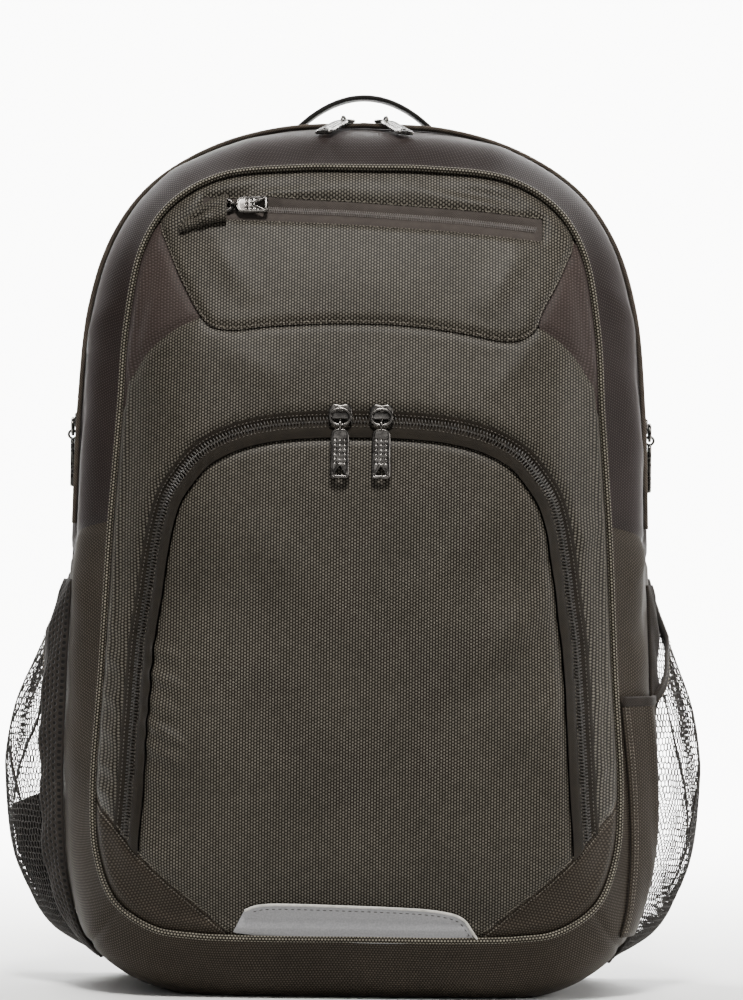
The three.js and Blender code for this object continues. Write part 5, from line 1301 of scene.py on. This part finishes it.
def build_pockets():
    for side, word in SIDES:
        bulge = BULGES[side]
        net = net_strands(side, bulge, 2.7, POCKET_BASE + 1, lambda s: mouth_level(s) - 6,
                          name=f"side_net_{word}_mesh", replaces=[f"side_net_{word}"])
        hem_s = np.linspace(0, 1, 70)
        path = pocket_spot(side, hem_s, mouth_level(hem_s) - 3.4, bulge, 1.5)
        out = np.tile([side * 1.0, 0, 0], (len(path), 1)) + np.outer(0.5 - hem_s, [0, -1.2, 0])
        hem = swept(f"net_binding_{word}_tape", path, out, rounded_bar(6.6, 2.0, 0.9), BINDING, slot="webbing",
                    replaces=[f"net_binding_{word}"])
        stitch = Batch()
        for drop in (1.6, 5.2):
            line = pocket_spot(side, hem_s, mouth_level(hem_s) - drop, bulge, 2.6)
            add_stitches(stitch, line, out, radius=0.28)
        stitch.build(f"net_binding_{word}_stitches", THREAD)
    # the nets' folded front edges, the left one's doubled foot, and the creases
    edge = fold_band("net_fold_left", -1, FOLD_ROWS, PAD_MESH)
    edge_right = fold_band("net_fold_right", 1, FOLD_RIGHT_ROWS, BINDING)
    declare(edge_right, (10.5, 74.0))
    foot = pocket_sheet("net_foot_left", -1, BULGE_LEFT - 3, (0.55, 0.97), lambda s: s * 0 + POCKET_BASE + 2,
                        lambda s: 96 + 14 * (s - 0.55), PAD_MESH, lift=0.4, ripple=1.0, slot="net")
    declare(edge)
    for name, side, rows in NET_CREASES:
        net_crease(name, side, rows)
    declare(foot)
    # right: the woven front of the pocket, with its bindings and pleats
    front, rear = -0.485 * FRONT_REACH, POCKET_FRONT_Y - GAP
    pleats = [(158, -34, 158, 163, -28, 70, 2.2, 4), (160, -24, 160, 166, -20, 80, -1.8, 4),
              (162, -18, 150, 168, -16, 60, 1.6, 3.5), (156, -36, 90, 160, -30, 46, 1.4, 5)]
    cloth = pocket_sheet("pocket_front_cloth", 1, 4.0, (0.0, 1.0), lambda s: s * 0 + 33.0,
                         lambda s: s * 0 + MOUTH_FRONT, SIDE, lift=1.0, pleats=pleats, front=front, rear=rear,
                         slot="weave", replaces=["pocket_front_right"])
    declare(cloth)
    edge = Batch()
    z = np.linspace(35, MOUTH_FRONT - 5, 120)
    for share in (0.03, 0.07):
        line = pocket_spot(1, np.full(120, share), z, 4.0, 1.7, front=front, rear=rear)
        add_stitches(edge, line, np.tile([0.8, -0.6, 0], (120, 1)), length=0.95, gap=0.95, radius=0.32)
    edge.build("pocket_edge_stitches", THREAD, slot="weave")
    s = np.linspace(0.0, 1.0, 24)
    path = pocket_spot(1, s, MOUTH_FRONT - 2.6, 4.0, 1.3, front=front, rear=rear)
    path = path + ridges(path, pleats)[:, None] * np.array([0.8, -0.6, 0])
    out = np.tile([0.85, -0.5, 0], (len(path), 1))
    swept("pocket_front_hem", path, out, rounded_bar(5.4, 2.0, 0.9), BINDING, slot="webbing")
    for name, side, top, radius in (("pocket_seam_right", 1, MOUTH_FRONT, 1.95),
                                    ("net_seam_left", -1, MOUTH_FRONT + 2, 1.56)):
        path = pocket_spot(side, np.zeros(60), np.linspace(34, top, 60), BULGES[side], 2.4)
        swept(name, path, np.tile([side * 1.0, -0.3, 0], (60, 1)), circle(radius, 10, 0.7), BINDING, slot="webbing")
    bottom = np.linspace(0, 1, 50)
    for side, word in SIDES:
        path = pocket_spot(side, bottom, POCKET_BASE + 1.0, BULGES[side], 1.0)
        tube(f"net_hem_{word}", path, np.tile([side * 1.0, 0, -0.5], (50, 1)), 1.3, BINDING, slot="webbing")
        z = np.linspace(POCKET_BASE + 1, MOUTH_REAR - 3, 60)
        path = pocket_spot(side, np.ones(60), z, BULGES[side], 1.0)
        tube(f"net_rear_seam_{word}", path, np.tile([side * 1.0, 0.2, 0], (60, 1)), 1.3, BINDING, slot="webbing")


# Back: padded panel, straps, webbing and haul loop


def lens(x, z, away, faces, top, bottom):
    """Closed form of two skins over one outline, which meet where away is nothing."""
    n = len(x)
    rim = away < 1e-6
    under = np.full(n, -1)
    under[~rim] = n + np.arange((~rim).sum())
    under[rim] = np.flatnonzero(rim)
    points = np.vstack([np.column_stack([x, top, z]), np.column_stack([x, bottom, z])[~rim]])
    return points, [tuple(f) for f in faces] + [tuple(int(under[i]) for i in f[::-1]) for f in faces]


def flat_shape(outline, pitch, hole=None):
    """Grid cut to an outline in the plane of x and z, with the distance from the edge."""
    p = np.asarray(outline, float)
    xs = np.arange(p[:, 0].min() - pitch, p[:, 0].max() + 1.5 * pitch, pitch)
    zs = np.arange(p[:, 1].min() - pitch, p[:, 1].max() + 1.5 * pitch, pitch)
    gx, gz = (a.ravel() for a in np.meshgrid(xs, zs))
    value = distance_in(p, gx, gz)
    if hole is not None:
        value = np.minimum(value, -distance_in(hole, gx, gz))
    found, faces = clip(np.column_stack([gx, gz, value]), grid_faces(len(zs), len(xs)), value)
    away = np.where(np.abs(found[:, 2]) < 1e-9, 0.0, found[:, 2])
    return found[:, 0], found[:, 1], away, faces


CHANNELS = [(0, 430, 0, 45, 5.5), (-92, 330, 92, 330, 3.2), (-92, 178, 92, 178, 3.2)]


def channel_depth(x, z):
    total = np.zeros_like(x)
    for ax, az, bx, bz, depth in CHANNELS:
        d = np.array([bx - ax, bz - az], float)
        t = np.clip(((x - ax) * d[0] + (z - az) * d[1]) / (d @ d), 0, 1)
        away = np.hypot(x - ax - t * d[0], z - az - t * d[1])
        total = np.maximum(total, depth * np.exp(-((away / 7.0) ** 2)))
    return total


def build_back():
    outline = inset(BODY, PAD_MARGIN)[::2, [0, 2]]
    x, z, away, faces = flat_shape(outline, 2.4)
    rise = BACK_PAD * (1 - np.exp(-away / 4.0)) - channel_depth(x, z)
    rise = np.maximum(rise + 0.5 * wavy(x, 0 * x, z, 40, 21) * smooth(away, 0, 20), 0.6 * smooth(away, 0, 1))
    base = LAPTOP_BACK + GAP
    points, made = lens(x, z, away, faces, base + np.minimum(rise, BACK_PAD), np.full_like(rise, base))
    pad = add_mesh("back_pad", points, made, PAD_MESH, uv=points[:, [0, 2]], replaces=["back_panel"], slot="plain")
    path = np.column_stack([outline[:, 0], np.full(len(outline), base + 1.3), outline[:, 1]])
    out = path - [0, base - 60, FACE_CENTRE]
    tube("back_pad_piping", closed(path), closed(out), 1.5, BINDING, 8, slot="webbing")


def strap_path(side, steps=70):
    bow = STRAP_BOW if side > 0 else 0.0
    pts = [(side * (r[0] * STRAP_SPREAD + r[4] * bow), STRAP_BACK_Y + STRAP_THICK / 2 + r[1] * STRAP_STAND,
            STRAP_TOP - r[2] * STRAP_DROP) for r in STRAP_ROWS]
    path = curve(pts, steps)
    wide = np.interp(np.linspace(0, len(pts) - 1, steps + 1), range(len(pts)), [r[3] for r in STRAP_ROWS])
    ahead = np.gradient(path, axis=0)
    normal = np.cross([1.0, 0, 0], ahead)
    return path, normal, wide * STRAP_WIDTH


def lock_spot(side):
    end = strap_path(side)[0][-1]
    return end - [0, 0, 3 * GAP + ADJUSTER_HEIGHT / 2]


def build_straps():
    stitches = Batch()
    for side, word in SIDES:
        path, normal, wide = strap_path(side, 80)
        turn = np.linspace(0, 2 * np.pi, 48, endpoint=False)
        section = 0.5 * np.column_stack([np.sign(part) * np.abs(part) ** power
                                         for part, power in ((np.cos(turn), 0.55), (np.sin(turn), 0.8))])
        run = lengths(path)
        ends = np.clip(np.minimum(run / 14, (run[-1] - run) / 10), 0, 1) ** 0.5
        thick = STRAP_THICK * (0.35 + 0.65 * ends) * (1 + 0.02 * np.sin(run / 21))
        pts, faces, uv = sweep(path, normal, section, np.column_stack([wide, thick]))
        obj = add_mesh(f"shoulder_strap_{word}_pad", pts, faces, PLAIN, uv=uv * [60, 1], slot="plain",
                       replaces=[f"shoulder_strap_{word}"])
        obj.data.materials.append(PAD_MESH)
        for face in obj.data.polygons:
            if face.normal.y < -0.15 and abs(face.normal.x) < 0.9:
                face.material_index = 1
        _, across, out = frames_along(path, normal)
        for hand in (-1, 1):
            edge = path + across * (hand * (wide / 2 - 0.3))[:, None]
            tube(f"strap_{word}_edge_{'in' if hand < 0 else 'out'}", edge, out, 2.1, BINDING, 8, slot="webbing")
            line = path + across * (hand * (wide / 2 - 7))[:, None]
            for face in (-1, 1):
                share = 1 - 14 / wide
                stand = face * (thick / 2 * (1 - share ** (2 / 0.55)) ** 0.4 - 0.1)
                add_stitches(stitches, line + out * stand[:, None], out * face, length=3.0, gap=1.2)
    stitches.build("strap_stitches", DARK_THREAD)


def web_route(side):
    lock = lock_spot(side)
    bar = lock[2] - (ADJUSTER_HEIGHT - ADJUSTER_BAR) / 2
    turn = math.hypot(ADJUSTER_THICK, ADJUSTER_BAR) / 2 + WEB_THICK / 2 + GAP
    foot = ANCHOR_LEVEL + ANCHOR_HEIGHT + GAP
    start = STRAP_BACK_Y + GAP + ANCHOR_THICK / 2
    route = [(start, foot), (start + WEB_THICK / 2, foot + 5), (lock[1] - turn, bar - 12)]
    for k in range(13):
        angle = math.pi * (1 - k / 12)
        route.append((lock[1] + turn * math.cos(angle), bar + turn * math.sin(angle)))
    route += [(lock[1] + turn + 3, bar - TAIL_LENGTH / 2), (lock[1] + turn, bar - TAIL_LENGTH)]
    return np.array([(lock[0], y, z) for y, z in route])


def build_webbing():
    stitches = Batch()
    for side, word in SIDES:
        path, = resample(web_route(side), 1.5)
        normal = np.cross([1.0, 0, 0], np.gradient(path, axis=0))
        web = swept(f"strap_webbing_{word}_band", path, normal, rounded_bar(WEB_WIDTH, WEB_THICK, 0.7), WEB,
                    slot="webbing", replaces=[f"strap_webbing_{word}"])
        declare(web, (WEB_WIDTH + WEB_THICK, lengths(path)[-1]))
        lock = lock_spot(side)
        # sewn patch at the lower corner
        w, tip, low, high = 17.0, WEB_WIDTH / 2 + 1, ANCHOR_LEVEL, ANCHOR_LEVEL + ANCHOR_HEIGHT
        shape = [(lock[0] - w, low), (lock[0] + w, low), (lock[0] + tip, high), (lock[0] - tip, high)]
        x, z, away, faces = flat_shape(shape, 1.4)
        middle = STRAP_BACK_Y + GAP + ANCHOR_THICK / 2
        half = ANCHOR_THICK / 2 * np.sqrt(1 - (1 - np.clip(away / 1.4, 0, 1)) ** 2)
        points, made = lens(x, z, away, faces, middle + half, middle - half)
        patch = add_mesh(f"strap_anchor_{word}_patch", points, made, WEB, uv=points[:, [0, 2]], slot="webbing",
                         replaces=[f"strap_anchor_{word}"])
        declare(patch, (36.0, 34.0))
        y = middle + ANCHOR_THICK / 2 + 0.1
        lines = [[(-w + 3, low + 3), (w - 3, low + 3), (tip - 3, high - 3), (-tip + 3, high - 3), (-w + 3, low + 3)],
                 [(-w + 3, low + 3), (tip - 3, high - 3)], [(w - 3, low + 3), (-tip + 3, high - 3)]]
        for line in lines:
            for a, b in zip(line, line[1:]):
                ends = np.array([(lock[0] + a[0], y, a[1]), (lock[0] + b[0], y, b[1])])
                fine, = resample(ends, 1.0)
                add_stitches(stitches, fine, np.tile([0.0, 1, 0], (len(fine), 1)))
        # ladder lock
        frame_parts = Batch()
        hw, hh = 15.0 - ADJUSTER_BAR / 2, ADJUSTER_HEIGHT / 2 - ADJUSTER_BAR / 2
        corners = curve([(hw - 1, -hh, 0), (hw, -hh + 1, 0), (hw, hh - 1, 0), (hw - 1, hh, 0)], 24)[:, [0, 1]]
        loop = np.vstack([corners, (corners * -1)])
        path = np.column_stack([loop[:, 0] + lock[0], np.full(len(loop), lock[1]), loop[:, 1] + lock[2]])
        bar = np.column_stack([np.linspace(-hw, hw, 12) + lock[0], np.full(12, lock[1]), np.full(12, lock[2])])
        for run in (closed(path), bar):
            pts, faces, uv = sweep(run, np.tile([0.0, 1, 0], (len(run), 1)),
                                   rounded_bar(ADJUSTER_BAR, ADJUSTER_THICK, 1.0))
            frame_parts.add(pts, np.array([f for f in faces if len(f) == 4]), uv)
        frame_parts.build(f"strap_adjuster_{word}_lock", PLASTIC, slot="plastic", replaces=[f"strap_adjuster_{word}"])
    stitches.build("anchor_stitches", THREAD)


def build_loop():
    y = MOUTH_MIDDLE + MOUTH_WIDTH / 2 + LOOP_WIDTH / 2 + 2
    low = 0.97 * BODY_HEIGHT
    angle = np.linspace(0.0, math.pi, 80)
    path = np.column_stack([-LOOP_HALF * np.cos(angle), np.full(80, y),
                            low + (BODY_HEIGHT + LOOP_RISE - low) * np.sin(angle) ** 1.9])
    ground = np.interp(np.abs(path[:, 0]), BODY[:RING + 1, 0][::-1], BODY[:RING + 1, 2][::-1])
    path = path[path[:, 2] > ground + 0.2]
    normal = np.cross([0.0, 1, 0], np.gradient(path, axis=0))
    loop = swept("haul_loop_band", path, -normal, rounded_bar(LOOP_WIDTH, LOOP_THICK, 1.2), WEB, slot="webbing",
                 replaces=["haul_loop"])
    declare(loop, (LOOP_WIDTH + LOOP_THICK, lengths(path)[-1]))


# Zip hardware, in a frame with the hinge along X, the cloth at +Y and the pull towards -Z

EYE_RADIUS, EYE_WIRE, BAR_RADIUS, BAR_HEIGHT = 2.3, 0.75, 0.95, 3.6
SLIDER_LENGTH, SLIDER_BASE, RING_INSET, POST_SHARE = 9.0, 2.0, 0.5, 0.4
PULL_WIDTH, PULL_THICK, PULL_NECK, PULL_SHOULDER = 10.0, 2.0, 2.8, 3.0
PULL_HOLE, PULL_RIM, PULL_APEX = 5.2, 2.2, 4.5
# name, hinge at, X, slider towards, pull from, slider width, pull length
HARDWARE = [
    ("lower_left", (-11, -91.85, 307.76), (1, 0, 0), (0, 0.2248, 0.9744), (0, 0.2242, 0.9746), 12, 27),
    ("lower_right", (11, -91.85, 307.76), (1, 0, 0), (0, 0.2248, 0.9744), (0, 0.2242, 0.9746), 12, 27),
    ("main_left", (-11.64, 10.86, 477.1), (0.9084, -0.4166, 0.0363), (0.4163, 0.9091, 0.0167),
     (0.3905, 0.8762, 0.2826), 8, 27),
    ("main_right", (11.64, 10.86, 477.1), (0.9084, 0.4166, -0.0363), (-0.4163, 0.9091, 0.0167),
     (-0.3905, 0.8762, 0.2826), 8, 27),
    ("laptop_left", (-162.06, 66, 303), (0, -1, 0), (0, 0, 1), (0, 0, 1), 12, 27),
    ("laptop_right", (162.06, 66, 303), (0, 1, 0), (0, 0, 1), (0, 0, 1), 12, 27),
    ("quick", (-70.79, -51.27, 426.62), (0, 0.4224, 0.9064), (-0.9967, 0.0735, -0.0343),
     (-0.9967, 0.0735, -0.0343), 8, 17),
]


def placed(points, at, x, z):
    x, z = np.array(x, float), np.array(z, float)
    x, z = x / np.linalg.norm(x), z / np.linalg.norm(z)
    return np.asarray(points) @ np.array([x, np.cross(z, x), z]) + np.array(at, float)


def slider_mesh(width):
    w, l = width / 2, SLIDER_LENGTH / 2
    middle = EYE_RADIUS + EYE_WIRE + GAP + l
    outline = curve([(w * 0.75, -l), (w, -l + 1.4), (w, l - 2.4), (w * 0.62, l), (0, l - 0.6)], 30)
    outline = np.vstack([outline, (outline * [-1, 1])[::-1]]) + [0, middle]
    x, z, away, faces = flat_shape(outline, 0.5)
    round_off = np.sqrt(1 - (1 - np.clip(away / 0.9, 0, 1)) ** 2)
    centre = BAR_HEIGHT - GAP - SLIDER_BASE / 2
    crown = 0.25 * (1 - (x / w) ** 2)
    parts = [lens(x, z, away, faces, centre + SLIDER_BASE / 2 * round_off,
                  centre - (SLIDER_BASE / 2 + crown) * round_off)]
    turn = np.linspace(0, 2 * np.pi, 41)
    ring = np.column_stack([(w - RING_INSET) * np.cos(turn), 0 * turn, l + l * np.sin(turn)])
    pts, quads, _ = sweep(ring, np.tile([0.0, -1, 0], (41, 1)), circle(BAR_RADIUS, 10))
    parts.append((pts, [q for q in quads if len(q) == 4]))
    post = np.column_stack([np.zeros(8), np.linspace(centre, 0.0, 8), np.full(8, SLIDER_LENGTH - 0.6)])
    pts, quads, _ = sweep(post, np.tile([0.0, 0, 1], (8, 1)), rounded_bar(POST_SHARE * width, 2.4, 0.7),
                          np.column_stack([1 + 0.25 * np.abs(np.linspace(1, -1, 8)) ** 2] * 2))
    parts.append((pts, quads))
    return parts


def pull_mesh(length):
    top = -EYE_RADIUS
    low = top - length
    w, neck = PULL_WIDTH / 2, PULL_NECK / 2
    half = curve([(neck, top + 0.5), (neck + 1.6, top), (w - 0.7, top - 1.0), (w - 0.05, top - PULL_SHOULDER),
                  (w, (top + low) / 2), (w, low + 1.6), (w - 0.45, low + 0.5), (w - 1.6, low), (0, low)], 60)
    outline = np.vstack([half, (half * [-1, 1])[::-1]])
    sill, hole = low + PULL_RIM, PULL_HOLE / 2
    cut = np.array([(-hole, sill), (hole, sill), (0, sill + PULL_APEX)])
    x, z, away, faces = flat_shape(outline, 0.2, hole=cut)
    edge = np.sqrt(1 - (1 - np.clip(away / 0.7, 0, 1)) ** 2)
    dimple = np.zeros_like(x)
    rows = 6 if length > 20 else 3
    for row in range(rows):
        level = top - PULL_SHOULDER - 2.4 - row * 2.55
        for column in (-2.5, 0, 2.5):
            dimple = np.maximum(dimple, smooth(-np.hypot(x - column, z - level), -0.98, -0.5))
    rim = 0.25 * np.exp(-(((away - 0.9) / 0.5) ** 2))
    crown = -0.3 * (x / w) ** 2 * edge
    outside = PULL_THICK / 2 * edge + crown + rim * edge - 0.45 * dimple - 0.12 * smooth(away, 0.9, 1.6)
    points, made = lens(x, z, away, faces, PULL_THICK / 2 * edge, -outside)
    turn = np.linspace(0, 2 * np.pi, 33)
    eye = np.column_stack([0 * turn, EYE_RADIUS * np.cos(turn), EYE_RADIUS * np.sin(turn)])
    pts, quads, _ = sweep(eye, np.tile([1.0, 0, 0], (33, 1)), circle(EYE_WIRE, 10))
    return [(points, made), (pts, [q for q in quads if len(q) == 4])]


def join(parts):
    points, faces, count = [], [], 0
    for pts, polys in parts:
        points.append(pts)
        faces += [tuple(int(i) + count for i in f) for f in polys]
        count += len(pts)
    return np.vstack(points), faces


def build_hardware():
    for name, at, x, z, pull_z, width, length in HARDWARE:
        points, faces = join(slider_mesh(width))
        add_mesh(f"{name}_slider_body", placed(points, at, x, z), faces, METAL, slot="metal",
                 replaces=[f"{name}_slider"])
        points, faces = join(pull_mesh(length))
        add_mesh(f"{name}_pull_plate", placed(points, at, x, pull_z), faces, METAL, slot="metal",
                 body=f"{name}_pull_tab", replaces=[f"{name}_pull"])


# Hood of cloth over the open end of the quick-access zip
HOOD_LENGTH, HOOD_DROP, HOOD_MOUTH, HOOD_RISE = 25.0, 11.5, 6.6, 5.6


def build_garage():
    mouth = QUICK_HINGE - EYE_RADIUS - EYE_WIRE - GAP
    across, around = 34, 34
    share = np.linspace(0, 1, across)
    rows = []
    for s in share:
        x = mouth - HOOD_LENGTH * (1 - s)
        angle = np.linspace(0, np.pi, around)
        half = 1.0 + (HOOD_MOUTH - 1.0) * s**0.62
        centre = quick_level(mouth) - HOOD_DROP * (1 - s) ** 1.15
        z = centre + half * np.cos(angle) + 1.2 * math.sin(math.pi * s)
        dent = 2.3 * math.sin(math.pi * s) ** 1.5 * np.exp(-(((angle - 1.5) / 0.42) ** 2))
        crease = 0.5 * np.sin(s * 17 + angle * 2.4) * (1.1 - s)
        height = HOOD_RISE * smooth(s, -0.25, 0.6) * np.sin(angle) ** 0.6 - dent
        out = np.maximum(0.05, height + crease * np.sin(angle))
        rows.append(np.column_stack([np.full(around, x), face_y(np.full(around, x), z) - out - QUICK_LIFT - GAP, z]))
    grid = np.array(rows)
    uv = np.stack(np.meshgrid(share * HOOD_LENGTH, np.linspace(0, 21, around), indexing="ij"), -1).reshape(-1, 2)
    obj = add_mesh("quick_zip_hood", grid.reshape(-1, 3), grid_faces(across, around), FRONT, uv=uv, slot="weave",
                   replaces=["quick_zip_garage"])
    give_wall(obj, 1.2, 1)
    declare(obj)


def build_divider():
    edge = inset(WELT + (BEND - WELT) * 0.5, CLOTH + 1.2)
    rings = []
    middle = np.array([0, WELT[RING // 2, 1] + 6, FACE_CENTRE])
    for share in (0.15, 0.4, 0.7, 0.9, 1.0):
        rings.append(middle + (edge - middle) * share)
    grid = np.array(rings)
    grid[..., 1] += 1.0
    uv = np.concatenate([grid[..., :1], grid[..., 2:]], -1).reshape(-1, 2)
    obj = add_mesh("front_divider_sheet", grid.reshape(-1, 3), grid_faces(len(rings), grid.shape[1], closed=True),
                   LINING, uv=uv, slot="plain", replaces=["front_divider"])
    declare(obj)


# Camera, light and floor, in metres

CAMERA_AT, CAMERA_ROLL = (0.0062, -3.0, 0.2680), -0.66
SENSOR, VIEW_HEIGHT = 24.0, 0.55
FLOOR_START, FLOOR_END, FLOOR_HALF = -4.0, 1.3, 2.6
WALL_START, WALL_CURVE, WALL_TOP, WALL_HALF = 1.6, 1.2, 5.0, 0.9
GREY_FROM, GREY_TO = -0.12, -0.6
MIDDLE, SHEET = (0, 0, 0.25), (0, 2.4, 0.5)
# name, place, target, size, watts, colour
LAMPS = [
    ("key", (0.08, -1.55, 2.75), MIDDLE, 0.6, 160, (1.0, 0.985, 0.96)),
    ("fill", (-0.3, -2.8, 0.8), MIDDLE, 1.4, 9, (0.98, 0.99, 1.0)),
    ("rim_left", (-1.7, 0.5, 1.6), MIDDLE, 0.7, 2, (1.0, 0.98, 0.96)),
    ("rim_right", (1.8, -0.1, 0.7), MIDDLE, 0.7, 18, (1.0, 0.98, 0.96)),
    ("sheet_left", (-0.9, 1.3, 1.5), SHEET, 1.0, 290, (1.0, 1.0, 1.0)),
    ("sheet_right", (0.9, 1.3, 1.5), SHEET, 1.0, 290, (1.0, 1.0, 1.0)),
]


def build_stage():
    data = bpy.data.cameras.new("camera")
    camera = bpy.data.objects.new("camera", data)
    bpy.context.scene.collection.objects.link(camera)
    data.sensor_fit = "VERTICAL"
    data.sensor_height = SENSOR
    data.lens = SENSOR * -CAMERA_AT[1] / VIEW_HEIGHT
    data.clip_end = 60
    camera.location = CAMERA_AT
    camera.rotation_euler = (math.radians(90), math.radians(CAMERA_ROLL), 0)
    bpy.context.scene.camera = camera

    mesh = bpy.data.meshes.new("floor")
    rows = [(FLOOR_START, 0.0, FLOOR_HALF), (FLOOR_END, 0.0, FLOOR_HALF), (WALL_START, 0.0, WALL_HALF)]
    rows += [(WALL_START + WALL_CURVE * math.sin(t), WALL_CURVE * (1 - math.cos(t)), WALL_HALF)
             for t in np.linspace(0.1, math.pi / 2, 12)]
    rows.append((WALL_START + WALL_CURVE, WALL_TOP, WALL_HALF))
    pts = [(x * half, y, z - 0.0005) for y, z, half in rows for x in (-1, 1)]
    mesh.from_pydata(pts, [], [(2 * k, 2 * k + 1, 2 * k + 3, 2 * k + 2) for k in range(len(rows) - 1)])
    mesh.polygons.foreach_set("use_smooth", [True] * len(mesh.polygons))
    floor = bpy.data.objects.new("floor", mesh)
    bpy.context.scene.collection.objects.link(floor)
    paper = Shader("paper", roughness=0.9)
    # the paper turns grey towards the front, so that little light comes up from there
    place = paper.add("SeparateXYZ")
    paper.feed(place.inputs[0], paper.add("TexCoord").outputs["Object"])
    paper.colour(paper.mix(paper.step(place.outputs[1], GREY_TO, GREY_FROM), (0.22, 0.22, 0.215), (0.7, 0.7, 0.69)))
    floor.data.materials.append(paper.material)

    world = bpy.data.worlds.new("studio")
    world.use_nodes = True
    world.node_tree.nodes["Background"].inputs[0].default_value = (1.0, 0.99, 0.97, 1)
    world.node_tree.nodes["Background"].inputs[1].default_value = 0.2
    bpy.context.scene.world = world
    for name, place, target, size, power, colour in LAMPS:
        lamp = bpy.data.lights.new(name, "AREA")
        lamp.energy, lamp.size, lamp.color = power, size, colour
        obj = bpy.data.objects.new(name, lamp)
        obj.location = place
        obj.rotation_euler = (Vector(target) - Vector(place)).to_track_quat("-Z", "Y").to_euler()
        bpy.context.scene.collection.objects.link(obj)


build_stage()
build_face()
build_gusset()
build_zips(build_laptop())
for build in (build_seams, build_strip, build_pockets, build_back, build_straps, build_webbing, build_loop,
              build_hardware, build_garage, build_divider):
    build()
